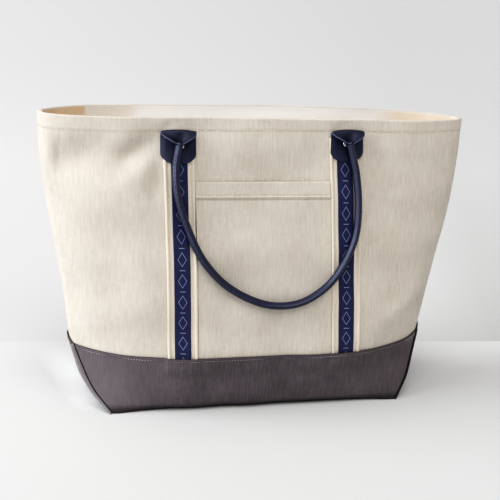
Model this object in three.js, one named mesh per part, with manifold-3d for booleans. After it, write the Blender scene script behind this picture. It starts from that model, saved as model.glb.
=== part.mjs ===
// A boat tote: two canvas panels sewn at the sides, a canvas base that wraps their foot, a front pocket,
// webbing straps faced with ribbon, and rolled leather handles riveted to tabs on the straps.
// Millimetres, +Z up. The origin is the middle of the underside, and the pocket faces -Y.
import * as THREE from 'three';
import { mergeVertices } from 'three/addons/utils/BufferGeometryUtils.js';
import Module from 'manifold-3d';

const wasm = await Module();
wasm.setup();

const { clamp, degToRad, lerp, smoothstep } = THREE.MathUtils;
const FRONT = -1;
const BACK = 1;

// Heights above the floor, at the middle of each face.
const RIM_HEIGHT = 372;
const RIM_DROP = { left: 2.5, right: 4.5 };
const BASE_HEIGHT = 74.8;
const BASE_RISE = { left: 0, right: 6, seam: 4, power: 4 };
const BASE_SAG_LEFT = 1.5;
const HEM_HEIGHT = 16;
const POCKET_TOP = 295.6;
const POCKET_HEM_FOOT = 276.8;
const STRAP_TOP = 349;

// Cloth thicknesses, and the gap between pieces that lie on each other.
const GAP = 0.3;
const CANVAS = 2;
const HEM_FOLD = 1.6;
const POCKET_CLOTH = 1.6;
const POCKET_HEM_FOLD = 0.8;
const WEBBING = 1.6;
const RIBBON = 1;
const LEATHER = 2;

// Heights of the layers above the panel's outer face.
const STRAP_FACE = GAP + WEBBING;
const RIBBON_FACE = STRAP_FACE + GAP + RIBBON;
const TAB_BACK = RIBBON_FACE + GAP;
const TAB_FACE = TAB_BACK + LEATHER;

// Half of the plan at each height, for each half of the bag. middleY is half the depth in the middle of a
// face, the crease is where the face turns into the end of the bag, and seamX is the side seam. facePower is
// how flat the face is, and endPower how round the end is: about 1 is sharp, and 2 is round.
const LEFT_SECTIONS = [
  { z: 0, seamX: 206, creaseX: 189, creaseY: 82, middleY: 82, facePower: 4, endPower: 2 },
  { z: 25, seamX: 226.5, creaseX: 212.5, creaseY: 60, middleY: 87, facePower: 3.8, endPower: 2 },
  { z: 50, seamX: 235, creaseX: 225.5, creaseY: 42, middleY: 89, facePower: 3.6, endPower: 2 },
  { z: 78, seamX: 239.8, creaseX: 236, creaseY: 26, middleY: 90, facePower: 3.6, endPower: 2 },
  { z: 110, seamX: 243.5, creaseX: 240, creaseY: 23, middleY: 89, facePower: 3.9, endPower: 2 },
  { z: 140, seamX: 247, creaseX: 243, creaseY: 22, middleY: 87, facePower: 4.4, endPower: 2 },
  { z: 185, seamX: 254.5, creaseX: 249, creaseY: 24, middleY: 81.5, facePower: 5.2, endPower: 2 },
  { z: 250, seamX: 266, creaseX: 261, creaseY: 22, middleY: 70.5, facePower: 6, endPower: 2 },
  { z: 320, seamX: 275, creaseX: 268, creaseY: 18, middleY: 57.5, facePower: 7, endPower: 2 },
  { z: 372, seamX: 276.5, creaseX: 266, creaseY: 19, middleY: 47.5, facePower: 8, endPower: 2 },
];
const RIGHT_SECTIONS = [
  { z: 0, seamX: 206, creaseX: 188, creaseY: 82, middleY: 82, facePower: 4, endPower: 2 },
  { z: 25, seamX: 222, creaseX: 202, creaseY: 68, middleY: 87, facePower: 4.6, endPower: 2 },
  { z: 50, seamX: 233, creaseX: 216, creaseY: 52, middleY: 89, facePower: 4.8, endPower: 2 },
  { z: 78, seamX: 239, creaseX: 229, creaseY: 38, middleY: 90, facePower: 5, endPower: 2 },
  { z: 110, seamX: 243.5, creaseX: 236, creaseY: 29, middleY: 89, facePower: 5.6, endPower: 2 },
  { z: 140, seamX: 247, creaseX: 242, creaseY: 24, middleY: 87, facePower: 6.2, endPower: 2 },
  { z: 185, seamX: 254.5, creaseX: 249, creaseY: 24, middleY: 81.5, facePower: 6.6, endPower: 2 },
  { z: 250, seamX: 266, creaseX: 261, creaseY: 22, middleY: 70.5, facePower: 6.4, endPower: 2 },
  { z: 320, seamX: 275, creaseX: 269, creaseY: 15, middleY: 57.5, facePower: 5.8, endPower: 1.6 },
  { z: 372, seamX: 276.5, creaseX: 266, creaseY: 13, middleY: 47.5, facePower: 5.6, endPower: 1.2 },
];
const SHAPE = ['seamX', 'creaseX', 'creaseY', 'middleY', 'facePower', 'endPower'];

// Dents and swellings of the cloth: centre, direction in degrees, half length, half width, and height.
const FOLDS = [
  { face: FRONT, x: -222, z: 331, turn: 6, long: 44, wide: 20, height: -10.5 },
  { face: FRONT, x: -161, z: 323, turn: 34, long: 29, wide: 12, height: -7.2 },
  { face: FRONT, x: -176, z: 286, turn: 30, long: 46, wide: 22, height: 4.5 },
  { face: FRONT, x: -236, z: 303, turn: 4, long: 34, wide: 16, height: 3 },
  { face: FRONT, x: 144, z: 322, turn: 80, long: 28, wide: 13, height: -3 },
  { face: FRONT, x: 186, z: 151, turn: 40, long: 34, wide: 14, height: 3 },
  { face: FRONT, x: 10, z: 372, turn: 0, long: 62, wide: 60, height: 4 },
  { face: BACK, x: 10, z: 372, turn: 0, long: 62, wide: 60, height: 4 },
  { face: BACK, x: 0, z: 345, turn: 0, long: 220, wide: 20, height: -10 },
  { face: BACK, x: 178, z: 322, turn: -38, long: 38, wide: 14, height: -4 },
  { face: BACK, x: -174, z: 318, turn: 40, long: 36, wide: 14, height: -3.5 },
  { face: BACK, x: -180, z: 160, turn: -40, long: 38, wide: 16, height: 3 },
];

// Straps: the line of the middle of each one at the base and at the rim.
const STRAP_HALF = 19;
const RIBBON_HALF = 10;
const STRAPS = [
  { name: 'front_left', face: FRONT, low: -102, high: -112 },
  { name: 'front_right', face: FRONT, low: 110, high: 96 },
  { name: 'back_left', face: BACK, low: -106, high: -106 },
  { name: 'back_right', face: BACK, low: 106, high: 106 },
];

// Handles: round-ended tabs, a fold over the tab's top, and a tube rolled from the same leather.
const TAB_HALF = 21.5;
const TAB_FOOT = 13;
const TUBE_RADIUS = 4.6;
const FLARE_LENGTH = 15;
const FLARE_GIRTH = 25;
const FLARE_CLOSED = 6;
const FLARE_POWER = 0.85;
const FOLD_RADIUS = 2.25;
const FLARE_LEATHER = 1.6;
const FLARE_BACK = TAB_FACE - LEATHER / 2 + 2 * FOLD_RADIUS;
const TUBE_START = { share: 0.72, lift: FLARE_BACK + FLARE_GIRTH / FLARE_CLOSED };
const RIVET_RADIUS = 4;
const RIVET_HEIGHT = 1.8;
const TUBE_SIDES = 10;
const TUBE_STEPS = 44;
const HANDLES = [
  {
    name: 'handle_front', face: FRONT,
    tabs: [{ x: -111.2, top: 355.5, height: 42 }, { x: 101, top: 357, height: 39 }],
    route: [
      { x: -115.5, z: 315, lift: 11.6 }, { x: -112.4, z: 280, lift: 9.3 }, { x: -100.8, z: 243, lift: 8.8 },
      { x: -81.5, z: 203.5, lift: 8.8 }, { x: -48.7, z: 168.3, lift: 8.8 }, { x: 0, z: 145.7, lift: 8.8 },
      { x: 41.5, z: 146.5, lift: 8.8 }, { x: 76, z: 164.6, lift: 8.8 }, { x: 97, z: 190.5, lift: 8.8 },
      { x: 112, z: 226.6, lift: 9 }, { x: 115.3, z: 262, lift: 9.3 }, { x: 111, z: 308, lift: 11.2 },
    ],
  },
  {
    name: 'handle_back', face: BACK,
    tabs: [{ x: -106, top: 356, height: 41 }, { x: 106, top: 356, height: 41 }],
    route: [
      { x: -109, z: 313, lift: 11.6 }, { x: -110, z: 270, lift: 9.3 }, { x: -103, z: 225, lift: 8.8 },
      { x: -80, z: 181, lift: 8.8 }, { x: -42, z: 152, lift: 8.8 }, { x: 0, z: 143, lift: 8.8 },
      { x: 42, z: 152, lift: 8.8 }, { x: 80, z: 181, lift: 8.8 }, { x: 103, z: 225, lift: 8.8 },
      { x: 110, z: 270, lift: 9.3 }, { x: 109, z: 313, lift: 11.6 },
    ],
  },
];
const RIVETS = [
  { name: 'rivet_front_left', face: FRONT, x: -109.3, z: 339.5 },
  { name: 'rivet_front_right', face: FRONT, x: 98.6, z: 343 },
  { name: 'rivet_back_left', face: BACK, x: -106, z: 339 },
  { name: 'rivet_back_right', face: BACK, x: 106, z: 339 },
];

function paint(color, roughness, metalness = 0) {
  return new THREE.MeshStandardMaterial({ color, roughness, metalness });
}
const creamCanvas = paint('#dcd2c3', 0.9);
const greyCanvas = paint('#625c5e', 0.9);
const creamWebbing = paint('#e0d8cb', 0.85);
const navyRibbon = paint('#252a55', 0.7);
const navyLeather = paint('#1b1e3c', 0.45);
const steel = paint('#c8c8cc', 0.25, 1);

const tote = new THREE.Group();
tote.name = 'boat_tote';

function addPiece(name, geometry, material) {
  const mesh = new THREE.Mesh(geometry, material);
  mesh.name = name;
  tote.add(mesh);
  return mesh;
}

// The bag's surface

// Plan sizes at height z in the half of the bag that side is in, on a smooth curve through the table's rows.
function sectionAt(side, z) {
  const sections = side < 0 ? LEFT_SECTIONS : RIGHT_SECTIONS;
  const height = clamp(z, sections[0].z, sections.at(-1).z);
  const last = sections.length - 1;
  const found = sections.findIndex((row) => row.z > height);
  const upper = found < 0 ? last : found;
  const lower = upper - 1;
  const span = sections[upper].z - sections[lower].z;
  const t = (height - sections[lower].z) / span;
  const section = {};
  for (const key of SHAPE) {
    const slope = (row) => {
      const a = sections[Math.max(row - 1, 0)];
      const b = sections[Math.min(row + 1, last)];
      return (b[key] - a[key]) / (b.z - a.z);
    };
    const [below, above] = [sections[lower][key], sections[upper][key]];
    const blend = below * (1 + 2 * t) * (1 - t) ** 2 + above * t * t * (3 - 2 * t);
    const rise = slope(lower) * span * t * (1 - t) ** 2 + slope(upper) * span * t * t * (t - 1);
    section[key] = blend + rise;
  }
  return section;
}

// A point of the smooth shape. across is 0 in the middle of a face, 1 at the crease and 2 at the seam.
function shapePoint(across, z, face) {
  const { seamX, creaseX, creaseY, middleY, facePower, endPower } = sectionAt(across, z);
  const reach = Math.abs(across);
  if (reach <= 1) {
    const y = middleY - (middleY - creaseY) * reach ** facePower;
    return new THREE.Vector3(across * creaseX, face * y, z);
  }
  const inner = Math.max(2 - reach, 0);
  const x = Math.sign(across) * (seamX - (seamX - creaseX) * inner ** endPower);
  return new THREE.Vector3(x, face * creaseY * inner, z);
}

function outward(across, z, face) {
  const step = 0.01;
  const right = shapePoint(across + step, z, face).sub(shapePoint(across - step, z, face));
  const up = shapePoint(across, z + 1, face).sub(shapePoint(across, z - 1, face));
  return right.cross(up).multiplyScalar(-face).normalize();
}

function foldHeight(x, z, face) {
  let height = 0;
  for (const fold of FOLDS.filter((row) => row.face === face)) {
    const cos = Math.cos(degToRad(fold.turn));
    const sin = Math.sin(degToRad(fold.turn));
    const along = ((x - fold.x) * cos + (z - fold.z) * sin) / fold.long;
    const over = ((z - fold.z) * cos - (x - fold.x) * sin) / fold.wide;
    height += fold.height * Math.exp(-along * along - over * over);
  }
  return height;
}

// A point at a height above the cloth's outer face. It moves out level, so it stays at its own height. Folds
// die away at the creases.
function skin(across, z, face, lift) {
  const point = shapePoint(across, z, face);
  const onFace = 1 - smoothstep(Math.abs(across), 0.95, 1.2);
  const total = lift + foldHeight(point.x, z, face) * onFace;
  const away = outward(across, z, face).setZ(0);
  return point.addScaledVector(away, total / away.lengthSq());
}

const skinAtX = (x, z, face, lift) => skin(x / sectionAt(x, z).creaseX, z, face, lift);
const shareOfFace = (across) => Math.min(Math.abs(across), 1);
const rimDropAt = (across) => (across < 0 ? RIM_DROP.left : RIM_DROP.right);
const rimAt = (across) => RIM_HEIGHT - rimDropAt(across) * shareOfFace(across) ** 2;

// The base's top edge climbs towards the right crease and sags towards the left one, then runs to the seam.
function baseTopAt(across) {
  const corner = across < 0 ? BASE_RISE.left : BASE_RISE.right;
  const sag = across < 0 ? BASE_SAG_LEFT * Math.sin(Math.PI * shareOfFace(across) ** 2.5) : 0;
  const pastCrease = Math.max(Math.abs(across) - 1, 0);
  return BASE_HEIGHT - sag + lerp(corner * shareOfFace(across) ** BASE_RISE.power, BASE_RISE.seam, pastCrease);
}

// Columns and rows of the cloth

// A column follows a line on the face, then lies past it: 0 on the line, 1 at the crease, 2 at the seam.
function acrossAt(column, z) {
  const x = lerp(column.low, column.high, (z - BASE_HEIGHT) / (RIM_HEIGHT - BASE_HEIGHT));
  const onLine = x / sectionAt(x, z).creaseX;
  const side = Math.sign(onLine);
  return column.past > 1 ? side * column.past : lerp(onLine, side, column.past);
}

const onLine = (strap, offset) => ({ low: strap.low + offset, high: strap.high + offset, past: 0 });
const strapsOf = (face) => STRAPS.filter((strap) => strap.face === face);
const STRAP_LINES = [-STRAP_HALF, -RIBBON_HALF, RIBBON_HALF, STRAP_HALF];
const strapColumns = (strap) => STRAP_LINES.map((offset) => onLine(strap, offset));

// Evenly spaced columns between the straps, clear of them by a margin.
function columnsBetween(face, cells, margin) {
  const [left, right] = strapsOf(face);
  const start = onLine(left, STRAP_HALF + margin);
  const end = onLine(right, -STRAP_HALF - margin);
  return Array.from({ length: cells + 1 }, (_, i) => ({
    low: lerp(start.low, end.low, i / cells),
    high: lerp(start.high, end.high, i / cells),
    past: 0,
  }));
}

const OUTER_CELLS = 6;
const END_CELLS = 3;
const MIDDLE_CELLS = 5;

// All columns of a face, from the left seam to the right seam.
function faceColumns(face) {
  const [left, right] = strapsOf(face);
  const past = [];
  for (let i = 1; i <= OUTER_CELLS; i += 1) past.push(i / OUTER_CELLS);
  for (let i = 1; i <= END_CELLS; i += 1) past.push(1 + i / END_CELLS);
  const outside = (strap, offset) => past.map((share) => ({ ...onLine(strap, offset), past: share }));
  return [
    ...outside(left, -STRAP_HALF).reverse(),
    ...strapColumns(left),
    ...columnsBetween(face, MIDDLE_CELLS, 0).slice(1, -1),
    ...strapColumns(right),
    ...outside(right, STRAP_HALF),
  ];
}

const level = (z) => () => z;
const baseShare = (share) => (across) => share * baseTopAt(across);
const aboveBase = (distance) => (across) => baseTopAt(across) + distance;
const belowRim = (distance) => (across) => rimAt(across) - distance;
const BASE_SHARES = [0.3, 0.65];
const FACE_LEVELS = [105, 140, 175, 210, 245, POCKET_HEM_FOOT, POCKET_TOP, 315, 325, 335, 342, STRAP_TOP];

// A cloth layer between two heights above the face, given for each row, as one closed solid. It keeps to its
// own half of the bag, so the panels meet at the side seams without overlapping.
function layer(face, columns, rows) {
  const ownHalf = (point) => point.setY(face * Math.max(face * point.y, GAP / 2));
  const grid = rows.map(({ height, low, high }) => columns.map((column) => {
    const first = acrossAt(column, height(0));
    const z = height(first);
    const across = acrossAt(column, z);
    return { inner: ownHalf(skin(across, z, face, low)), outer: ownHalf(skin(across, z, face, high)) };
  }));
  return slab(grid);
}

// A closed solid from a grid of inner and outer points.
function slab(grid) {
  const wide = grid[0].length;
  const tall = grid.length;
  const count = wide * tall;
  const points = [];
  for (const row of grid) points.push(...row.map((cell) => cell.outer));
  for (const row of grid) points.push(...row.map((cell) => cell.inner));
  const faces = [];
  const quad = (a, b, c, d) => faces.push(a, b, c, a, c, d);
  const at = (row, column) => row * wide + column;
  for (let row = 0; row < tall - 1; row += 1) {
    for (let column = 0; column < wide - 1; column += 1) {
      const corners = [at(row, column), at(row, column + 1), at(row + 1, column + 1), at(row + 1, column)];
      quad(...corners);
      // the inner face has the same diagonal, turned round
      const [a, b, c, d] = corners.map((corner) => corner + count);
      faces.push(a, c, b, a, d, c);
    }
  }
  const wall = (a, b) => quad(b, a, a + count, b + count);
  for (let column = 0; column < wide - 1; column += 1) {
    wall(at(0, column), at(0, column + 1));
    wall(at(tall - 1, column + 1), at(tall - 1, column));
  }
  for (let row = 0; row < tall - 1; row += 1) {
    wall(at(row + 1, 0), at(row, 0));
    wall(at(row, wide - 1), at(row + 1, wide - 1));
  }
  return facingOut(points, faces);
}

// Geometry from points and triangles, turned so that the faces point out.
function facingOut(points, faces) {
  let volume = 0;
  for (let i = 0; i < faces.length; i += 3) {
    const [a, b, c] = [points[faces[i]], points[faces[i + 1]], points[faces[i + 2]]];
    volume += a.dot(b.clone().cross(c));
  }
  const geometry = new THREE.BufferGeometry().setFromPoints(points);
  geometry.setIndex(volume < 0 ? faces.toReversed() : faces);
  geometry.computeVertexNormals();
  return geometry;
}

// Panels, base and pocket

// A panel's rows, from its foot inside the base to the hem, which is folded in and twice as thick.
function panelRows() {
  const plain = (height) => ({ height, low: -CANVAS, high: 0 });
  const folded = (height) => ({ height, low: -CANVAS - HEM_FOLD, high: 0 });
  return [
    plain(level(CANVAS + GAP)),
    ...BASE_SHARES.map((share) => plain(baseShare(share))),
    plain(aboveBase(0)),
    ...FACE_LEVELS.map((z) => plain(level(z))),
    folded(belowRim(HEM_HEIGHT)),
    folded(belowRim(0)),
  ];
}

function addPanels() {
  addPiece('panel_front', layer(FRONT, faceColumns(FRONT), panelRows()), creamCanvas);
  addPiece('panel_back', layer(BACK, faceColumns(BACK), panelRows()), creamCanvas);
}

// The base is a tray of canvas: walls round the foot of the panels, and a floor under them.
function baseGeometry() {
  const front = faceColumns(FRONT).map((column) => ({ column, face: FRONT }));
  const back = faceColumns(BACK).map((column) => ({ column, face: BACK })).reverse();
  const ring = [...front.slice(0, -1), ...back.slice(0, -1)];
  const pointOf = ({ column, face }, height, lift) => {
    const z = height(acrossAt(column, height(0)));
    return skin(acrossAt(column, z), z, face, lift);
  };
  const shares = [...BASE_SHARES, 1].map(baseShare);
  const loops = [
    ...[level(0), ...shares].map((height) => ring.map((at) => pointOf(at, height, GAP + CANVAS))),
    ...[...shares.toReversed(), level(CANVAS)].map((height) => ring.map((at) => pointOf(at, height, GAP))),
  ];
  const around = ring.length;
  const faces = [];
  for (let loop = 0; loop < loops.length - 1; loop += 1) {
    const inside = loop > shares.length;
    for (let i = 0; i < around; i += 1) {
      const next = (i + 1) % around;
      const [a, b] = [loop * around + i, loop * around + next];
      const [c, d] = [b + around, a + around];
      // the diagonals follow those of the panels inside
      const rising = inside === (ring[i].face === BACK);
      faces.push(...(rising ? [a, b, c, a, c, d] : [a, b, d, b, c, d]));
    }
  }
  // each floor is a ladder of strips between the front and the back, with a triangle at each end
  const floor = (loop, turned) => {
    const at = (i) => loop * around + ((i + around) % around);
    for (let i = 0; i < front.length - 1; i += 1) {
      const [a, b, c, d] = [at(i), at(i + 1), at(-i - 1), at(-i)];
      const strip = [[a, b, c], [a, c, d]].filter((corners) => new Set(corners).size === 3).flat();
      faces.push(...(turned ? strip.toReversed() : strip));
    }
  };
  floor(0, true);
  floor(loops.length - 1, false);
  return facingOut(loops.flat(), faces);
}

function addPocket() {
  const plain = (height) => ({ height, low: GAP, high: GAP + POCKET_CLOTH });
  const folded = (height) => ({ height, low: GAP, high: GAP + POCKET_CLOTH + POCKET_HEM_FOLD });
  const body = FACE_LEVELS.filter((z) => z < POCKET_HEM_FOOT).map((z) => plain(level(z)));
  const rows = [plain(aboveBase(GAP)), ...body, folded(level(POCKET_HEM_FOOT)), folded(level(POCKET_TOP))];
  addPiece('pocket', layer(FRONT, columnsBetween(FRONT, MIDDLE_CELLS, GAP), rows), creamCanvas);
}

// Straps and ribbons run from the base's top edge to under the tabs.
function addStraps() {
  const heights = [aboveBase(GAP), ...FACE_LEVELS.map(level)];
  for (const strap of STRAPS) {
    const columns = strapColumns(strap);
    const webbing = heights.map((height) => ({ height, low: GAP, high: STRAP_FACE }));
    const ribbon = heights.map((height) => ({ height, low: STRAP_FACE + GAP, high: RIBBON_FACE }));
    addPiece(`strap_${strap.name}`, layer(strap.face, columns, webbing), creamWebbing);
    addPiece(`ribbon_${strap.name}`, layer(strap.face, columns.slice(1, 3), ribbon), navyRibbon);
  }
}

// Handles and rivets

function solid(geometry) {
  const bare = geometry.clone();
  for (const name of ['normal', 'uv']) bare.deleteAttribute(name);
  const merged = mergeVertices(bare, 1e-4);
  const vertProperties = new Float32Array(merged.attributes.position.array);
  const triVerts = new Uint32Array(merged.index.array);
  return new wasm.Manifold(new wasm.Mesh({ numProp: 3, vertProperties, triVerts }));
}

function geometryOf(manifold) {
  const { vertProperties, triVerts } = manifold.getMesh();
  const geometry = new THREE.BufferGeometry();
  geometry.setAttribute('position', new THREE.BufferAttribute(new Float32Array(vertProperties), 3));
  geometry.setIndex(new THREE.BufferAttribute(new Uint32Array(triVerts), 1));
  geometry.computeVertexNormals();
  return geometry;
}

// A tab: straight sides and a round foot, lying over the strap and its ribbon.
function tabGeometry(tab, face) {
  const straight = tab.height - TAB_FOOT;
  const levels = FACE_LEVELS.toReversed().map((z) => tab.top - z);
  const turns = [15, 30, 45, 60, 75, 85].map(degToRad);
  const outline = [
    ...[0, ...levels, straight].filter((down) => down <= straight).map((down) => ({ down, half: TAB_HALF })),
    ...turns.map((turn) => ({ down: straight + TAB_FOOT * Math.sin(turn), half: TAB_HALF * Math.cos(turn) })),
  ];
  const shares = [-1, -0.5, 0, 0.5, 1];
  return slab(outline.map(({ down, half }) => shares.map((share) => {
    const x = tab.x + share * half;
    const z = tab.top - down;
    return { inner: skinAtX(x, z, face, TAB_BACK), outer: skinAtX(x, z, face, TAB_FACE) };
  })));
}

// The leather folds forward over the tab's top, and its edges roll in until they meet as a tube.
function flareGeometry(tab, face) {
  const fold = TAB_FACE - LEATHER / 2;
  const path = [{ down: LEATHER * 2, lift: fold, rolled: 0 }];
  for (const turn of [0, 45, 90, 135, 180].map(degToRad)) {
    const lift = fold + FOLD_RADIUS * (1 - Math.cos(turn));
    path.push({ down: -FOLD_RADIUS * Math.sin(turn), lift, rolled: 0 });
  }
  for (const rolled of [0.2, 0.4, 0.6, 0.8, 1]) {
    path.push({ down: FLARE_LENGTH * rolled, lift: FLARE_BACK, rolled });
  }
  const shares = [-1, -0.75, -0.5, -0.25, 0, 0.25, 0.5, 0.75, 1];
  const middle = path.map(({ down, lift, rolled }) => shares.map((share) => {
    const girth = lerp(TAB_HALF * 2, FLARE_GIRTH, rolled);
    const angle = Math.max(FLARE_CLOSED * rolled ** FLARE_POWER, 0.01);
    const radius = girth / angle;
    const turn = share * angle / 2;
    const x = tab.x + radius * Math.sin(turn);
    return skinAtX(x, tab.top - down, face, lift + radius * (1 - Math.cos(turn)));
  }));
  return slab(thicken(middle, FLARE_LEATHER));
}

// Inner and outer points on both sides of a sheet.
function thicken(sheet, wall) {
  const rowAt = (row) => sheet[clamp(row, 0, sheet.length - 1)];
  const pointAt = (row, column) => rowAt(row)[clamp(column, 0, sheet[0].length - 1)];
  return sheet.map((points, row) => points.map((point, column) => {
    const along = pointAt(row + 1, column).clone().sub(pointAt(row - 1, column));
    const over = pointAt(row, column + 1).clone().sub(pointAt(row, column - 1));
    const normal = over.cross(along).normalize().multiplyScalar(wall / 2);
    return { inner: point.clone().sub(normal), outer: point.clone().add(normal) };
  }));
}

// The tube starts inside one flare, hangs along its route and ends inside the other flare.
function tubeGeometry(handle) {
  const [start, end] = handle.tabs.map(({ x, top }) => {
    return { x, z: top - FLARE_LENGTH * TUBE_START.share, lift: TUBE_START.lift };
  });
  const route = [start, ...handle.route, end];
  const points = route.map(({ x, z, lift }) => skinAtX(x, z, handle.face, lift));
  const curve = new THREE.CatmullRomCurve3(points, false, 'centripetal');
  const section = new THREE.Shape();
  for (let side = 0; side < TUBE_SIDES; side += 1) {
    const turn = side / TUBE_SIDES * 2 * Math.PI;
    const corner = [TUBE_RADIUS * Math.cos(turn), TUBE_RADIUS * Math.sin(turn)];
    if (side === 0) section.moveTo(...corner);
    else section.lineTo(...corner);
  }
  return new THREE.ExtrudeGeometry(section, { steps: TUBE_STEPS, extrudePath: curve, bevelEnabled: false });
}

function addHandles() {
  for (const handle of HANDLES) {
    let leather = solid(tubeGeometry(handle));
    for (const tab of handle.tabs) {
      leather = leather.add(solid(flareGeometry(tab, handle.face)));
      leather = leather.add(solid(tabGeometry(tab, handle.face)));
    }
    addPiece(handle.name, geometryOf(leather), navyLeather);
  }
}

function addRivets() {
  const profile = [
    new THREE.Vector2(0, 0),
    new THREE.Vector2(RIVET_RADIUS, 0),
    new THREE.Vector2(RIVET_RADIUS, RIVET_HEIGHT * 0.3),
    new THREE.Vector2(RIVET_RADIUS * 0.7, RIVET_HEIGHT * 0.8),
    new THREE.Vector2(0, RIVET_HEIGHT),
  ];
  const axis = new THREE.Vector3(0, 1, 0);
  for (const { name, face, x, z } of RIVETS) {
    const rivet = addPiece(name, new THREE.LatheGeometry(profile, 12), steel);
    const seat = (offsetX, offsetZ) => skinAtX(x + offsetX, z + offsetZ, face, TAB_FACE + GAP);
    const right = seat(RIVET_RADIUS, 0).sub(seat(-RIVET_RADIUS, 0));
    const up = seat(0, RIVET_RADIUS).sub(seat(0, -RIVET_RADIUS));
    const away = right.cross(up).multiplyScalar(-face).normalize();
    rivet.position.copy(seat(0, 0)).addScaledVector(away, GAP);
    rivet.quaternion.setFromUnitVectors(axis, away);
  }
}

addPanels();
addPiece('base', baseGeometry(), greyCanvas);
addPocket();
addStraps();
addHandles();
addRivets();

export default tote;
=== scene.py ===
from math import cos, pi, radians, sin

import bmesh
import bpy
import numpy as np
from mathutils import Matrix, Vector


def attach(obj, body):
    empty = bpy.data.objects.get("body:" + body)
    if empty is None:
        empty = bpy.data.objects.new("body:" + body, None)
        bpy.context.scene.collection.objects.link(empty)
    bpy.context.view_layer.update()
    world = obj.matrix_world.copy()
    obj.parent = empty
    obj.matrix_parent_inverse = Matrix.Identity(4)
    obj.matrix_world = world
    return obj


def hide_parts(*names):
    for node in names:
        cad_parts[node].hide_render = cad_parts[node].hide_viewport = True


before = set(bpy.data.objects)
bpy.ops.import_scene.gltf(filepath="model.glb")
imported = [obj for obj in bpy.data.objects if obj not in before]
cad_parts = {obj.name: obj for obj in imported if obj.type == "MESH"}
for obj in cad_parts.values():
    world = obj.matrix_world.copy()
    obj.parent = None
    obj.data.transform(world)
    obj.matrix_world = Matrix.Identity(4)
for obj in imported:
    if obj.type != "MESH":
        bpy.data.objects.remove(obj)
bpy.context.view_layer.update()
scene = bpy.context.scene

# The view
# The camera stands in front of the bag and a little to its left, above the rim, and leans by the few
# degrees that the picture leans. A film curve deepens the dark tones and softens the light ones.
SIGHT = Vector((-0.0029, 0, 0.187))
SIGHT_DISTANCE = 1.3245
SIGHT_LEFT = 13.1
SIGHT_UP = 17.4
LEAN = radians(3.0)
LENS_MM = 72
SENSOR_MM = 36
FILM_CONTRAST = 1.7
FILM_TONES = (0.01, 0.03, 0.06, 0.1, 0.16, 0.25, 0.4, 0.6, 0.8)


def way_to(turn, climb):
    """The way to what stands a turn left of the front and a climb up, in degrees."""
    turn, climb = radians(turn), radians(climb)
    return Vector((-cos(climb) * sin(turn), -cos(climb) * cos(turn), sin(climb)))


def facing_back(way):
    """The turn that points an object's Z axis along a way, with its Y axis up."""
    return way.to_track_quat("Z", "Y").to_matrix().to_4x4()


towards_camera = way_to(SIGHT_LEFT, SIGHT_UP)
stand = Matrix.Translation(SIGHT + towards_camera * SIGHT_DISTANCE)
camera = bpy.data.objects.new("camera", bpy.data.cameras.new("camera"))
camera.data.lens = LENS_MM
camera.data.sensor_width = SENSOR_MM
camera.matrix_world = stand @ facing_back(towards_camera) @ Matrix.Rotation(LEAN, 4, "Z")
scene.collection.objects.link(camera)
scene.camera = camera

film = scene.view_settings
film.view_transform = "Standard"
film.use_curve_mapping = True
for tone in FILM_TONES:
    steep = tone ** FILM_CONTRAST
    film.curve_mapping.curves[3].points.new(tone, 2 * steep / (steep + 1))
film.curve_mapping.update()

# Panels
# The body is two cream cotton duck panels, front and back, sewn together down both ends of the bag. Each
# one's top edge is folded inside as a hem. The cloth is stiff enough to stand, with soft dents and folds.
FRONT, BACK = -1, 1
RIM_HEIGHT = 0.372
RIM_DROP_LEFT = 0.0025
RIM_DROP_RIGHT = 0.0045
CANVAS = 0.002
HEM_FOLD = 0.0016
HEM_HEIGHT = 0.0145
HEM_EXTRA_LEFT = 0.0035
HEM_EXTRA_FROM = (0.2, -1)
HEM_PROUD = 0.0005
HEM_EDGE_HALF = 0.0015
HEM_STITCH_DEPTH = 0.0004
HEM_STITCH_HALF = 0.0013
HEM_INSIDE = 0.0180
HEM_INSIDE_STEP = 0.0012
HEM_ROWS_FROM = 0.028
PANEL_FOOT = 0.012
SEAM_GAP = 0.00015
JOIN_DISTANCE = 2e-6
# The turned-in edges at the side seams double the wall.
SEAM_DOUBLED = (1.2, 1.9)

# Half of the plan at each height, close to the part's own sections.
SECTIONS = np.array([
    # z; seam x, crease x, crease y and face power on the left, then on the right; middle y, end power
    (0.000, 0.2060, 0.1890, 0.082, 4.0, 0.2060, 0.1870, 0.082, 4.0, 0.0820, 2.0),
    (0.025, 0.2240, 0.2115, 0.060, 3.8, 0.2225, 0.2035, 0.068, 4.6, 0.0870, 2.0),
    (0.050, 0.2325, 0.2245, 0.042, 3.6, 0.2325, 0.2148, 0.052, 4.8, 0.0890, 2.0),
    (0.078, 0.2398, 0.2350, 0.026, 3.6, 0.2368, 0.2252, 0.038, 5.0, 0.0900, 2.0),
    (0.110, 0.2435, 0.2400, 0.023, 3.9, 0.2425, 0.235, 0.029, 5.6, 0.0890, 2.0),
    (0.140, 0.2470, 0.2430, 0.022, 4.4, 0.2470, 0.242, 0.024, 6.2, 0.0870, 2.0),
    (0.185, 0.2545, 0.2490, 0.024, 5.2, 0.2545, 0.249, 0.024, 6.6, 0.0815, 2.0),
    (0.250, 0.2660, 0.2610, 0.022, 6.0, 0.2660, 0.261, 0.022, 6.4, 0.0705, 2.0),
    (0.320, 0.2750, 0.2680, 0.018, 7.0, 0.2750, 0.269, 0.015, 5.8, 0.0575, 1.6),
    (0.372, 0.2765, 0.2660, 0.019, 8.0, 0.2765, 0.266, 0.013, 5.6, 0.0475, 1.2),
])
LEFT_END_POWER = 2.0

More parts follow.
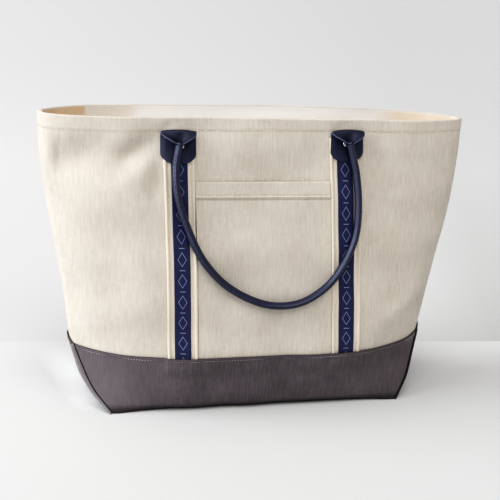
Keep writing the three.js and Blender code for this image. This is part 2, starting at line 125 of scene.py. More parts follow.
# Dents and swellings of the cloth: centre, direction in degrees, half length, half width below and above
# the middle line, and height.
FOLDS = [
    # face, x, z, turn, long, below, above, height
    (FRONT, -0.222, 0.322, 6, 0.042, 0.021, 0.025, -0.0185),
    (FRONT, -0.164, 0.325, 36, 0.028, 0.012, 0.015, -0.0120),
    (FRONT, -0.180, 0.286, 30, 0.044, 0.022, 0.022, 0.0040),
    (FRONT, -0.136, 0.308, 86, 0.038, 0.012, 0.012, -0.0044),
    (FRONT, 0.144, 0.322, 80, 0.028, 0.013, 0.013, -0.0030),
    (FRONT, 0.186, 0.128, 34, 0.038, 0.014, 0.014, 0.0042),
    (FRONT, 0.010, 0.372, 0, 0.062, 0.060, 0.060, 0.0040),
    (FRONT, -0.122, 0.361, 20, 0.011, 0.006, 0.006, -0.0014),
    (FRONT, -0.096, 0.361, -20, 0.011, 0.006, 0.006, -0.0010),
    (FRONT, 0.094, 0.362, 10, 0.012, 0.007, 0.007, -0.0014),
    (BACK, 0.010, 0.372, 0, 0.062, 0.060, 0.060, 0.0040),
    (BACK, 0.000, 0.345, 0, 0.220, 0.020, 0.020, -0.0100),
    (BACK, 0.178, 0.322, -38, 0.038, 0.014, 0.014, -0.0040),
    (BACK, -0.174, 0.318, 40, 0.036, 0.014, 0.014, -0.0035),
    (BACK, -0.180, 0.160, -40, 0.038, 0.016, 0.016, 0.0030),
]
FOLD_FADE = (1.0, 0.93)
RIPPLE_COUNT = 18
RIPPLE_HEIGHT = 0.00030
RIPPLE_LENGTHS = (0.05, 0.15)

heights = SECTIONS[:, 0]
sizes = SECTIONS[:, 1:]
before = np.maximum(np.arange(len(heights)) - 1, 0)
after = np.minimum(np.arange(len(heights)) + 1, len(heights) - 1)
slopes = (sizes[after] - sizes[before]) / (heights[after] - heights[before])[:, None]

ripple_draw = np.random.default_rng(11)
ripple_turns = ripple_draw.uniform(0, pi, RIPPLE_COUNT)
ripple_numbers = 2 * pi / ripple_draw.uniform(*RIPPLE_LENGTHS, RIPPLE_COUNT)
ripple_starts = ripple_draw.uniform(0, 2 * pi, (2, RIPPLE_COUNT))


def section_at(z):
    """Plan sizes at heights z, on smooth curves through the table's rows."""
    z = np.clip(z, heights[0], heights[-1])
    low = np.clip(np.searchsorted(heights, z, side="right") - 1, 0, len(heights) - 2)
    span = (heights[low + 1] - heights[low])[..., None]
    t = (z - heights[low])[..., None] / span
    blend = sizes[low] * (1 + 2 * t) * (1 - t) ** 2 + sizes[low + 1] * t * t * (3 - 2 * t)
    rise = slopes[low] * span * t * (1 - t) ** 2 + slopes[low + 1] * span * t * t * (t - 1)
    return np.moveaxis(blend + rise, -1, 0)


def plan_at(side, z):
    """Seam x, crease x, crease y, face power, middle y and end power, on the left where side is below 0."""
    left, right, shared = np.split(section_at(z), (4, 8))
    return *np.where(side < 0, left, right), *shared


def across_at(x, z):
    return x / plan_at(x, z)[1]


def shape_point(across, z, face):
    """Points of the smooth shape: across is 0 in the middle of a face, 1 at the crease, 2 at the seam."""
    seam_x, crease_x, crease_y, face_power, middle_y, end_power = plan_at(across, z)
    reach = np.abs(across)
    inner = np.clip(2 - reach, 0, 1)
    power = np.where(across < 0, LEFT_END_POWER, end_power)
    end_x = np.sign(across) * (seam_x - (seam_x - crease_x) * inner ** power)
    face_y = middle_y - (middle_y - crease_y) * np.minimum(reach, 1) ** face_power
    on_face = reach <= 1
    x = np.where(on_face, across * crease_x, end_x)
    y = np.where(on_face, face_y, crease_y * inner)
    return np.stack([x, face * y, z], axis=-1)


def unit(ways):
    return ways / np.maximum(np.linalg.norm(ways, axis=-1, keepdims=True), 1e-12)


def outward(across, z, face):
    """Directions out of the cloth."""
    step, climb = 0.01, 0.001
    right = shape_point(across + step, z, face) - shape_point(across - step, z, face)
    up = shape_point(across, z + climb, face) - shape_point(across, z - climb, face)
    return unit(np.cross(right, up) * -face)


def smooth_step(low, high, value):
    t = np.clip((value - low) / (high - low), 0, 1)
    return t * t * (3 - 2 * t)


def hump(distance, half_width):
    return np.exp(-(distance / half_width) ** 2)


def humps(distance, table):
    """The sum of a table's humps, each given as height, distance and half width."""
    return sum(height * hump(distance - place, half) for height, place, half in table)


def fold_height(x, z, face):
    """How far folds and ripples push the cloth out."""
    height = np.zeros_like(x)
    for side, fold_x, fold_z, turn, long, below, above, rise in FOLDS:
        if side == face:
            along = (x - fold_x) * cos(radians(turn)) + (z - fold_z) * sin(radians(turn))
            over = (z - fold_z) * cos(radians(turn)) - (x - fold_x) * sin(radians(turn))
            height += rise * hump(along, long) * hump(over, np.where(over < 0, below, above))
    for turn, number, start in zip(ripple_turns, ripple_numbers, ripple_starts[(face + 1) // 2]):
        height += RIPPLE_HEIGHT * np.sin(number * (x * cos(turn) + z * sin(turn)) + start)
    return height


def skin(across, z, face, lift):
    """Points at a height above the cloth's outer face, moved out level. Folds push the cloth straight to the
    front or back, and die away at the creases."""
    point = shape_point(across, z, face)
    away = outward(across, z, face) * (1, 1, 0)
    fold = fold_height(point[..., 0], z, face) * smooth_step(*FOLD_FADE, np.abs(across))
    point = point + away * (lift / (away ** 2).sum(-1))[..., None]
    point[..., 1] += face * fold
    return point


def skin_at_x(x, z, face, lift):
    return skin(across_at(x, z), z, face, lift)


def rim_at(across):
    drop = np.where(across < 0, RIM_DROP_LEFT, RIM_DROP_RIGHT)
    return RIM_HEIGHT - drop * np.minimum(np.abs(across), 1) ** 2


def hem_at(across):
    """Height of the hem, which is a little deeper towards the left end."""
    return HEM_HEIGHT + HEM_EXTRA_LEFT * smooth_step(*HEM_EXTRA_FROM, across)


def width_on_cloth(across, z):
    """Distance across the cloth from the middle of a face, on past the crease."""
    seam_x, crease_x, crease_y = plan_at(across, z)[:3]
    end = np.hypot(seam_x - crease_x, crease_y) * np.maximum(np.abs(across) - 1, 0)
    return np.sign(across) * (np.minimum(np.abs(across), 1) * crease_x + end)


def grid_piece(name, cells_across, cells_along, material, place, *given):
    """A piece made from a grid whose points go where place says, for shares u and v from 0 to 1. place also
    gives the thread coordinates, in metres, that the cloth's pattern follows."""
    shape = bmesh.new()
    bmesh.ops.create_grid(shape, x_segments=cells_across, y_segments=cells_along, size=0.5)
    shares = np.array([point.co for point in shape.verts]) + 0.5
    points, threads = place(shares[:, 0], shares[:, 1], *given)
    for vertex, point in zip(shape.verts, points):
        vertex.co = point
    shape.verts.index_update()
    thread_map = shape.loops.layers.uv.new("threads")
    for face in shape.faces:
        for corner in face.loops:
            corner[thread_map].uv = threads[corner.vert.index]
    bmesh.ops.remove_doubles(shape, verts=shape.verts, dist=JOIN_DISTANCE)
    bmesh.ops.holes_fill(shape, edges=[edge for edge in shape.edges if edge.is_boundary], sides=0)
    bmesh.ops.recalc_face_normals(shape, faces=shape.faces)
    return finished(name, shape, material)


def finished(name, shape, material):
    """The object that a bmesh becomes, shaded smooth and riding on the bag."""
    mesh = bpy.data.meshes.new(name)
    shape.to_mesh(mesh)
    shape.free()
    mesh.shade_smooth()
    mesh.materials.append(material)
    piece = bpy.data.objects.new(name, mesh)
    scene.collection.objects.link(piece)
    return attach(piece, "root")


class Nodes:
    """Adds shader nodes to a tree, wired as they are made."""

    def __init__(self, tree):
        self.tree = tree

    def wire(self, node, inputs):
        for socket, value in inputs.items():
            if isinstance(value, bpy.types.NodeSocket):
                self.tree.links.new(value, node.inputs[socket])
            else:
                node.inputs[socket].default_value = value
        return node

    def add(self, kind, inputs, **settings):
        node = self.tree.nodes.new(kind)
        for setting, value in settings.items():
            setattr(node, setting, value)
        return self.wire(node, inputs)

    def math(self, operation, first, second=0.0):
        return self.add("ShaderNodeMath", {0: first, 1: second}, operation=operation).outputs[0]

    def times(self, first, second):
        return self.math("MULTIPLY", first, second)

    def plus(self, first, second):
        return self.math("ADD", first, second)

    def noise(self, vector, scale, detail):
        inputs = {"Vector": vector, "Scale": scale, "Detail": detail}
        return self.add("ShaderNodeTexNoise", inputs).outputs["Fac"]

    def between(self, value, low, high):
        """0 below low, 1 above high, and a straight climb between."""
        inputs = {"Value": value, "From Min": low, "From Max": high}
        return self.add("ShaderNodeMapRange", inputs).outputs[0]

    def mix(self, share, first, second):
        """A colour from first to second."""
        return self.add("ShaderNodeMix", {"Factor": share, 6: first, 7: second}, data_type="RGBA").outputs[2]

    def bump(self, height, strength, distance):
        inputs = {"Height": height, "Strength": strength, "Distance": distance}
        return self.add("ShaderNodeBump", inputs).outputs[0]

    def split(self, vector):
        return self.add("ShaderNodeSeparateXYZ", {0: vector}).outputs

    def threads(self):
        return self.add("ShaderNodeUVMap", {}, uv_map="threads").outputs[0]

    def place(self):
        return self.add("ShaderNodeTexCoord", {}).outputs["Object"]

    def surface(self, inputs):
        """Sets the shader that a new material comes with."""
        self.wire(self.tree.nodes["Principled BSDF"], inputs)


def new_material(name):
    material = bpy.data.materials.new(name)
    material.use_nodes = True
    return material, Nodes(material.node_tree)


def new_group(name, inputs, outputs):
    """A shader node group with its sockets, and the nodes at its two ends."""
    tree = bpy.data.node_groups.new(name, "ShaderNodeTree")
    for socket, kind in inputs.items():
        tree.interface.new_socket(socket, in_out="INPUT", socket_type=kind)
    for socket in outputs:
        tree.interface.new_socket(socket, in_out="OUTPUT", socket_type="NodeSocketFloat")
    nodes = Nodes(tree)
    return nodes, nodes.add("NodeGroupInput", {}).outputs, nodes.add("NodeGroupOutput", {})


def colour(red, green, blue):
    """A shader colour from the 0 to 255 values of a screen."""
    return *(((c / 255 + 0.055) / 1.055) ** 2.4 for c in (red, green, blue)), 1


SLUBS = [
    # patches in a metre across and along the threads, detail, share
    (430, 42, 3.0, 0.5),
    (1000, 110, 2.0, 0.3),
    (70, 800, 2.0, 0.2),
]
SLUB_RANGE = (0.36, 0.64)
MOTTLE_PATCHES = 21.0
MOTTLE_RANGE = (0.3, 0.7)
FLECK_CELLS = 55.0
FLECK_CHOICE = (0.72, 0.74)
FLECK_SIZE = (0.05, 0.02)


def canvas_group():
    """Plain-woven cotton: yarns crossing over and under, slubs along them, soft mottling, seed flecks."""
    sockets = {"Threads": "NodeSocketVector", "Pitch": "NodeSocketFloat"}
    nodes, start, end = new_group("woven cotton", sockets, ("Yarns", "Slubs", "Mottle", "Flecks"))
    threads = start["Threads"]
    turns = nodes.math("DIVIDE", pi, start["Pitch"])
    waves = [nodes.math("SINE", nodes.times(way, turns)) for way in nodes.split(threads)[:2]]
    slubs = 0.0
    for across, along, detail, share in SLUBS:
        stretched = nodes.add("ShaderNodeMapping", {"Vector": threads, "Scale": (across, along, 1)})
        slubs = nodes.plus(slubs, nodes.times(nodes.noise(stretched.outputs[0], 1.0, detail), share))
    cells = nodes.add("ShaderNodeTexVoronoi", {"Vector": threads, "Scale": FLECK_CELLS}).outputs
    chosen = nodes.between(cells["Color"], *FLECK_CHOICE)
    nodes.wire(end, {
        "Yarns": nodes.plus(nodes.times(nodes.times(*waves), 0.5), 0.5),
        "Slubs": nodes.between(slubs, *SLUB_RANGE),
        "Mottle": nodes.between(nodes.noise(threads, MOTTLE_PATCHES, 3.0), *MOTTLE_RANGE),
        "Flecks": nodes.times(chosen, nodes.between(cells["Distance"], *FLECK_SIZE)),
    })
    return nodes.tree


SLUB_SHARE = 0.62
FLECK_SHARE = 0.55
SLUB_DEPTH = -0.7


def add_cotton(nodes, pitch):
    """Places across and up a cloth's thread map, and the woven cotton that follows it."""
    threads = nodes.threads()
    inputs = {"Threads": threads, "Pitch": pitch}
    return nodes.split(threads)[:2], nodes.add("ShaderNodeGroup", inputs, node_tree=woven_cotton).outputs


def canvas_material(name, pale, deep, fleck, pitch, sheen, tint=None):
    """Canvas whose colour goes from pale to deep with its slubs and mottling. tint paints light and shade
    into the colour in places that the thread map marks."""
    material, nodes = new_material(name)
    place, cloth = add_cotton(nodes, pitch)
    uneven = nodes.plus(nodes.times(cloth["Slubs"], SLUB_SHARE), nodes.times(cloth["Mottle"], 1 - SLUB_SHARE))
    dye_and_painted_light = nodes.mix(uneven, pale, deep)
    # The tint paints light and shade over the dye.
    if tint:
        dye_and_painted_light = tint(nodes, *place, dye_and_painted_light)
    height = nodes.plus(cloth["Yarns"], nodes.times(cloth["Slubs"], SLUB_DEPTH))
    nodes.surface({
        "Base Color": nodes.mix(nodes.times(cloth["Flecks"], FLECK_SHARE), dye_and_painted_light, fleck),
        "Roughness": 0.92,
        "Specular IOR Level": 0.2,
        "Sheen Weight": sheen,
        "Sheen Roughness": 0.45,
        "Normal": nodes.bump(height, 0.35, 0.0003),
    })
    return material


# The panels' inside is painted paler as painted light, and tan by the rim towards its ends as painted shade.
INSIDE_START = 1.0
INSIDE_PAINTED_LIGHT_SHARE = 0.9
INSIDE_PAINTED_SHADE_HEIGHTS = (INSIDE_START + 0.285, INSIDE_START + 0.345)
INSIDE_PAINTED_SHADES = [
    # from, to, share
    (-0.2135, -0.2200, 1.0),
    (-0.150, -0.162, 0.3),
    (0.170, 0.200, 0.6),
]


def inside_painted_light_and_shade(nodes, across, up, dye_and_painted_light):
    """The inside is painted paler than the outside as painted light, and tan by the rim at the left end and a
    little at the right as painted shade."""
    tan = 0.0
    for start, full, share in INSIDE_PAINTED_SHADES:
        tan = nodes.math("MAXIMUM", tan, nodes.times(nodes.between(across, start, full), share))
    tan = nodes.times(tan, nodes.between(up, *INSIDE_PAINTED_SHADE_HEIGHTS))
    # Painted light makes the inside paler, and painted shade makes it tan by the rim.
    inside_painted_tones = nodes.mix(tan, colour(255, 252, 249), colour(240, 214, 186))
    inside = nodes.between(up, INSIDE_START - 0.1, INSIDE_START)
    return nodes.mix(nodes.times(inside, INSIDE_PAINTED_LIGHT_SHARE), dye_and_painted_light, inside_painted_tones)


woven_cotton = canvas_group()
cream_canvas = canvas_material(
    "cream_canvas", colour(220, 213, 204), colour(195, 187, 177), colour(140, 110, 80),
    0.0009, 0.08, inside_painted_light_and_shade,
)

PANEL_CELLS = 236
OUTSIDE_ROWS = 118
HEM_ROWS = 26
HEM_INSIDE_ROWS = 10
INSIDE_ROWS = 62
ROUND_ROWS = 9
# Columns crowd towards the creases and round the ends.
ACROSS_SHARES = (0, 0.07, 0.13, 0.87, 0.93, 1)
ACROSS_STOPS = (-2, -1.03, -0.93, 0.93, 1.03, 2)


def stretch(*columns):
    """Rows of a path. A column that is a single number repeats down the rows."""
    return np.stack(np.broadcast_arrays(*columns), axis=-1)


def on_path(path, v):
    """The values in a path's columns at shares v of its rows."""
    steps = np.linspace(0, 1, len(path))
    return [np.interp(v, steps, column) for column in path.T]


def panel_path():
    """Rows up the outside, over the rim and down the inside: share of the height, drop, depth, and whether
    the row is inside."""
    radius = (CANVAS + HEM_FOLD) / 2
    hem_share = 1 - HEM_ROWS_FROM / RIM_HEIGHT
    inside_share = 1 - (HEM_INSIDE + HEM_INSIDE_STEP) / RIM_HEIGHT
    hem = np.linspace(hem_share, 1, HEM_ROWS)
    turn = np.linspace(0, pi, ROUND_ROWS)[1:-1]
    return np.concatenate([
        stretch(np.linspace(0, hem_share, OUTSIDE_ROWS, endpoint=False), 0, 0, 0),
        stretch(hem, radius * (hem - hem_share) / (1 - hem_share), 0, 0),
        stretch(1, radius * (1 - np.sin(turn)), -radius * (1 - np.cos(turn)), 0),
        stretch(1, np.linspace(radius, HEM_INSIDE, HEM_INSIDE_ROWS), -2 * radius, 1),
        stretch(np.linspace(inside_share, 0, INSIDE_ROWS), 0, -CANVAS, 1),
        [(0, 0, 0, 0)],
    ])


def panel_place(u, v, face):
    across = np.interp(u, ACROSS_SHARES, ACROSS_STOPS)
    share, drop, depth, inside = on_path(panel_path(), v)
    rim = rim_at(across)
    z = PANEL_FOOT + (rim - PANEL_FOOT) * share - drop
    below_rim = rim - z
    hem_height = hem_at(across)
    hem = HEM_PROUD * smooth_step(hem_height + HEM_EDGE_HALF, hem_height - HEM_EDGE_HALF, below_rim)
    groove = HEM_STITCH_DEPTH * hump(below_rim - hem_height, HEM_STITCH_HALF)
    lift = np.where(depth > -CANVAS / 2, hem - groove, 0)
    wall = 1 + smooth_step(*SEAM_DOUBLED, np.abs(across))
    points = skin(across, z, face, lift + depth * wall)
    points[:, 1] = face * np.maximum(face * points[:, 1], SEAM_GAP)
    return points, np.column_stack((width_on_cloth(across, z), z + INSIDE_START * np.rint(inside)))


for face, name in ((FRONT, "panel_front"), (BACK, "panel_back")):
    panel = grid_piece(name + "_cloth", PANEL_CELLS, len(panel_path()) - 1, cream_canvas, panel_place, face)
    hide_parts(name)

# Base
# A tray of heavier grey canvas wraps the foot of the panels. Its top edge is folded under and sewn round
# the bag over the straps and the pocket, and each corner is pinched into a hard crease.
BASE_HEIGHT = 0.0748
BASE_SAG_LEFT = 0.0015
BASE_SAG_POWER = 2.5
BASE_RISE_RIGHT = 0.0060
BASE_RISE_POWER = 4
BASE_RISE_SEAM_LEFT = 0.0040
BASE_RISE_SEAM_RIGHT = 0.0110
BASE_BACK = 0.0003
BASE_FACE = 0.0023
BASE_EDGE_ROUND = 0.014
BASE_CORNER_ROUND = 0.0025
BASE_ROUND_FROM = (1.0, 0.6)
BASE_STITCH_DROP = 0.0038
BASE_STITCH_DEPTH = 0.0003
BASE_STITCH_HALF = 0.0010
BASE_FOLD_PROUD = 0.0002
BASE_FOLD_FADE = 0.003
BASE_FOLD_SHARES = (0.5, 0.8)
BASE_FOLD_ROWS_FROM = 0.88
BASE_FOLD_ROWS = 14
BASE_UNDER_ROWS = 12
BASE_WALL_ROWS = 40
BASE_INSIDE_FROM = 0.9
BASE_INSIDE_ROWS = 10
BASE_INSIDE_ROUND_ROWS = 6
TUCK_DEPTH = 0.010
STRAP_HALF = 0.019
STRAP_LINES = {
    # name: face, middle at the base, middle at the rim
    "front_left": (FRONT, -0.102, -0.112),
    "front_right": (FRONT, 0.110, 0.096),
    "back_left": (BACK, -0.106, -0.106),
    "back_right": (BACK, 0.106, 0.106),
}
STRAP_BULGE = 0.0029
STRAP_BULGE_EDGE = (STRAP_HALF + 0.005, STRAP_HALF - 0.001)
POCKET_BULGE = 0.0018
POCKET_BULGE_EDGE = 0.006
BULGE_FADE = (0.030, 0.012)
CREASE_RELIEF = [
    # height, distance past the crease, half width
    (0.0012, 0.0016, 0.0018),
    (-0.0028, -0.0008, 0.0009),
]
CREASE_FADE = 0.02
# The thread map marks the ends, the creases and what lies past the brow of the top fold. The creases and
# the cloth past the brow are painted dark as painted shade.
CORNER_START = 10.0
CREASE_START = 20.0
CREASE_FROM = 0.988
BASE_BROW = radians(40)
BROW_START = 0.5


def base_top_at(across):
    """The base's top edge sags on the left, climbs towards the right crease, and climbs on to each seam."""
    reach = np.minimum(np.abs(across), 1)
    sag = -BASE_SAG_LEFT * np.sin(pi * reach ** BASE_SAG_POWER)
    climb = np.where(across < 0, sag, BASE_RISE_RIGHT * reach ** BASE_RISE_POWER)
    past = np.clip(np.abs(across) - 1, 0, 1)
    seam = np.where(across < 0, BASE_RISE_SEAM_LEFT, BASE_RISE_SEAM_RIGHT)
    return BASE_HEIGHT + climb * (1 - past) + seam * past


def strap_x(name, z):
    face, low, high = STRAP_LINES[name]
    return low + (high - low) * (z - BASE_HEIGHT) / (RIM_HEIGHT - BASE_HEIGHT)


def tucked_layers(x, z, face):
    """How far the straps and the pocket under the base's top edge push it out."""
    bulge = np.zeros_like(x)
    for name, (side, low, high) in STRAP_LINES.items():
        if side == face:
            off = np.abs(x - strap_x(name, z))
            bulge = np.maximum(bulge, STRAP_BULGE * smooth_step(*STRAP_BULGE_EDGE, off))
    if face == FRONT:
        left, right = strap_x("front_left", z), strap_x("front_right", z)
        from_side = np.minimum(x - left, right - x)
        bulge = np.maximum(bulge, POCKET_BULGE * smooth_step(0, POCKET_BULGE_EDGE, from_side))
    return bulge


def crease_relief(across, z):
    """The pinched corner: a sharp groove on the face's side and a hard rounded ridge on the end's side."""
    distance = np.abs(width_on_cloth(across, z)) - plan_at(across, z)[1]
    return humps(distance, CREASE_RELIEF)


def foot_round_at(across):
    """Radius of the bottom edge, which lifts off the floor between the corners."""
    extra = BASE_EDGE_ROUND - BASE_CORNER_ROUND
    return BASE_CORNER_ROUND + extra * smooth_step(*BASE_ROUND_FROM, np.abs(across))


def base_path():
    """Rows from the middle of the underside, up the outside, over the fold, and inside to the middle: share
    of the half depth, share of the wall, drop, height above the panel, rise and inset in the bottom edge's
    round, whether the row is outside, and whether it is past the fold's brow."""
    radius = (BASE_FACE - BASE_BACK) / 2
    foot = np.linspace(0, pi / 2, ROUND_ROWS)
    wall = np.linspace(0, BASE_FOLD_ROWS_FROM, BASE_WALL_ROWS)[1:]
    high = np.linspace(BASE_FOLD_ROWS_FROM, 1, BASE_FOLD_ROWS)[1:]
    high_drop = radius * (high - BASE_FOLD_ROWS_FROM) / (1 - BASE_FOLD_ROWS_FROM)
    over = np.linspace(0, pi, ROUND_ROWS)[1:]
    over_lift = BASE_FACE - radius * (1 - np.cos(over))
    inner = np.linspace(pi / 2, 0, BASE_INSIDE_ROUND_ROWS)[1:]
    inner_rise, inner_inset = 1 - np.cos(inner), 1 - np.sin(inner)
    inner_lift = BASE_BACK + CANVAS * inner_inset
    return np.concatenate([
        stretch(np.linspace(0, 1, BASE_UNDER_ROWS, endpoint=False), 0, 0, BASE_FACE, 0, 1, 1, 0),
        stretch(1, 0, 0, BASE_FACE, 1 - np.cos(foot), 1 - np.sin(foot), 1, 0),
        stretch(1, wall, 0, BASE_FACE, 1, 0, 1, 0),
        stretch(1, high, high_drop, BASE_FACE, 1, 0, 1, 0),
        stretch(1, 1, radius * (1 - np.sin(over)), over_lift, 1, 0, over < pi / 2, over > BASE_BROW),
        stretch(1, np.linspace(BASE_INSIDE_FROM, 0, BASE_INSIDE_ROWS), 0, BASE_BACK, 1, 0, 0, 1),
        stretch(1, 0, -CANVAS * np.cos(inner), inner_lift, inner_rise, inner_inset, 0, 1),
        stretch(np.linspace(1, 0, BASE_INSIDE_ROWS)[1:], 0, -CANVAS, BASE_BACK + CANVAS, 0, 1, 0, 1),
    ])


# Columns crowd at the creases.
BASE_ACROSS_STOPS = (-2, -1.10, -0.985, -0.90, 0.90, 0.985, 1.10, 2)
BASE_ACROSS_CELLS = (14, 24, 10, 164, 10, 24, 14)
BASE_ACROSS_SHARES = np.cumsum((0, *BASE_ACROSS_CELLS)) / sum(BASE_ACROSS_CELLS)
BASE_CELLS = 2 * sum(BASE_ACROSS_CELLS)


def base_half(share_round, v, face):
    across = np.interp(share_round, BASE_ACROSS_SHARES, BASE_ACROSS_STOPS)
    depth, share, drop, lift, rise, inset, outer, past = on_path(base_path(), v)
    top = base_top_at(across)
    foot = foot_round_at(across)
    z = foot * rise + (top - foot) * share - drop
    x = shape_point(across, z, face)[:, 0]
    below_top = top - z
    bulge = tucked_layers(x, z, face) * smooth_step(*BULGE_FADE, below_top)
    stitch = BASE_STITCH_DEPTH * hump(below_top - BASE_STITCH_DROP, BASE_STITCH_HALF)
    fold = BASE_FOLD_PROUD * smooth_step(BASE_STITCH_DROP + BASE_FOLD_FADE, BASE_STITCH_DROP, below_top)
    crease = crease_relief(across, z) * smooth_step(0, CREASE_FADE, z)
    relief = crease + (fold - stitch) * smooth_step(*BASE_FOLD_SHARES, share)
    lift = lift - foot * inset + bulge + np.where((outer > 0.5) & (share > 0), relief, 0)
    points = skin(across, z, face, lift)
    points[:, 1] *= depth
    points[:, 2] = np.maximum(points[:, 2], 0)
    reach = np.abs(across)
    zone = np.where(reach > 1, CORNER_START, np.where(reach > CREASE_FROM, CREASE_START, 0))
    thread_x = width_on_cloth(across, z) + np.sign(across) * zone
    return points, np.column_stack((thread_x, z + 2 + face + BROW_START * np.rint(past)))


def base_place(u, v):
    front = u < 0.5
    front_half = base_half(np.where(front, 2 * u, 0), v, FRONT)
    back_half = base_half(np.where(front, 0, 2 - 2 * u), v, BACK)
    return [np.where(front[:, None], *both) for both in zip(front_half, back_half)]


# The base is painted paler towards its left end as painted light, and dark along its foot as painted shade.
LEFT_END_PAINTED_LIGHT = (-0.08, -0.20)
FOOT_PAINTED_SHADE = (0.011, 0.004)


def base_painted_light_and_shade(nodes, across, up, dye_and_painted_light):
    """The base is painted paler towards its left end as painted light, and dark in its creases, along its
    bottom edge and past the brow of its top fold as painted shade."""
    height = nodes.math("FRACT", up)
    crease = nodes.between(nodes.math("ABSOLUTE", across), CREASE_START - 1, CREASE_START)
    # Painted light on the left end; painted shade in the creases, along the foot and past the brow.
    base_painted_tones = [
        # where, share, colour
        (nodes.between(across, *LEFT_END_PAINTED_LIGHT), 0.36, colour(126, 119, 124)),
        (crease, 0.8, colour(50, 46, 49)),
        (nodes.between(height, *FOOT_PAINTED_SHADE), 0.75, colour(46, 42, 45)),
        (nodes.between(height, BROW_START - 0.1, BROW_START), 0.8, colour(44, 39, 36)),
    ]
    for where, share, tint in base_painted_tones:
        dye_and_painted_light = nodes.mix(nodes.times(where, share), dye_and_painted_light, tint)
    return dye_and_painted_light


grey_canvas = canvas_material(
    "grey_canvas", colour(119, 113, 117), colour(89, 83, 87), colour(72, 66, 69), 0.0011, 0.22, base_painted_light_and_shade
)
base = grid_piece("base_cloth", BASE_CELLS, len(base_path()) - 1, grey_canvas, base_place)
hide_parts("base")

# Corner welts
# At each corner the base's cloth is pinched and sewn into a narrow welt along the crease, from the floor up
# to the base's top edge. The left ones stand out and are painted pale as painted light, and the right ones
# lie back on the end and are painted dark as painted shade.
WELT_REACH = 0.0048
WELT_HALF = 0.0030
WELT_THICK = 0.0020
WELT_FOOT = 0.0006
WELT_ROUND = 0.06
WELT_TIP = 0.02
WELT_LOW = 0.03
WELT_LOW_SHARE = 0.55
WELT_TURN_LEFT = radians(62)
WELT_TURN_RIGHT = radians(140)
WELT_THREADS = (0.3, 0.2)
WELT_CELLS = 20
WELT_ROWS = 60


def band_section(u, half, back, face):
    """Once round a flat band with round edges: offset from the middle, and height."""
    radius = (face - back) / 2
    flat = half - radius
    stops = (0, 0.55, 0.65, 0.9, 1)
    offset = np.interp(u, stops, (-flat, flat, flat, -flat, -flat))
    turn = np.interp(u, stops, (0, 0, pi, pi, 2 * pi))
    return offset + radius * np.sin(turn), (face + back) / 2 + radius * np.cos(turn)


def welt_place(u, v, side, face):
    """A band on edge along the crease, turned from the face towards the end, with a round top."""
    turn = WELT_TURN_LEFT if side < 0 else WELT_TURN_RIGHT
    out = np.array((side * sin(turn), face * cos(turn), 0))
    over = np.array((-side * cos(turn), face * sin(turn), 0))
    across = np.full_like(u, side)
    z = WELT_FOOT + (base_top_at(across) - WELT_FOOT) * v
    offset, lift = band_section(u, WELT_HALF, -WELT_THICK / 2, WELT_THICK / 2)
    ends = np.sqrt(np.clip(1 - np.clip((v - 1 + WELT_ROUND) / WELT_ROUND, 0, 1) ** 2, WELT_TIP, 1))
    grown = WELT_LOW_SHARE + (1 - WELT_LOW_SHARE) * smooth_step(0, WELT_LOW, z)
    reach = (offset + WELT_REACH - WELT_HALF) * ends * grown
    spine = skin(across, z, face, np.full_like(u, BASE_FACE))
    points = spine + out * reach[:, None] + over * (lift * ends)[:, None]
    return points, np.column_stack((offset, z)) + WELT_THREADS


# One grey canvas for the welts, painted paler on the left as painted light and darker on the right as painted
# shade.
rubbed_canvas = canvas_material(
    "rubbed_canvas", colour(158, 153, 156), colour(134, 129, 132), colour(100, 95, 98), 0.0011, 0.15
)
dark_canvas = canvas_material(
    "dark_canvas", colour(66, 61, 64), colour(52, 48, 51), colour(44, 40, 43), 0.0011, 0.1
)
for face, end in ((FRONT, "front"), (BACK, "back")):
    for side, hand, canvas in ((-1, "left", rubbed_canvas), (1, "right", dark_canvas)):
        welt = grid_piece(f"welt_{end}_{hand}", WELT_CELLS, WELT_ROWS, canvas, welt_place, side, face)

# Pocket
# A flat pocket of the same cream canvas fills the front between the straps, which catch its sides. Its
# top is folded to the outside as a hem, and its foot goes under the base.
POCKET_FOOT = BASE_HEIGHT - TUCK_DEPTH
POCKET_TOP = 0.2956
POCKET_HEM_FOOT = 0.2768
POCKET_HEM_STEP = 0.0022
POCKET_HEM_SEAM = 0.0045
POCKET_BACK = 0.0003
POCKET_FACE = 0.0019
POCKET_HEM_FACE = 0.0028
POCKET_SIDE_GAP = 0.00005
POCKET_SIDE_ROUND = 0.0002
POCKET_STITCH_RISE = 0.0028
POCKET_RELIEF = [
    # height, rise above the hem's foot, half width
    (-0.0003, POCKET_STITCH_RISE, 0.0009),
    (0.0010, 0.0007, 0.0009),
]
POCKET_SLACK = 0.0012
POCKET_SLACK_MIDDLE = 0.005
POCKET_SLACK_HALF = 0.060
POCKET_SLACK_FROM = 0.20
POCKET_THREADS = (0.7, 0.31)
POCKET_CELLS = 84
POCKET_FACE_ROWS = 90
POCKET_STEP_ROWS = 5
POCKET_SEAM_ROWS = 13
POCKET_HEM_ROWS = 12
POCKET_BACK_TOP = POCKET_TOP - 0.004
POCKET_BACK_ROWS = 40
# Columns crowd at the sides.
POCKET_SHARES = (0, 0.04, 0.96, 1)
POCKET_STOPS = (0, 0.008, 0.992, 1)


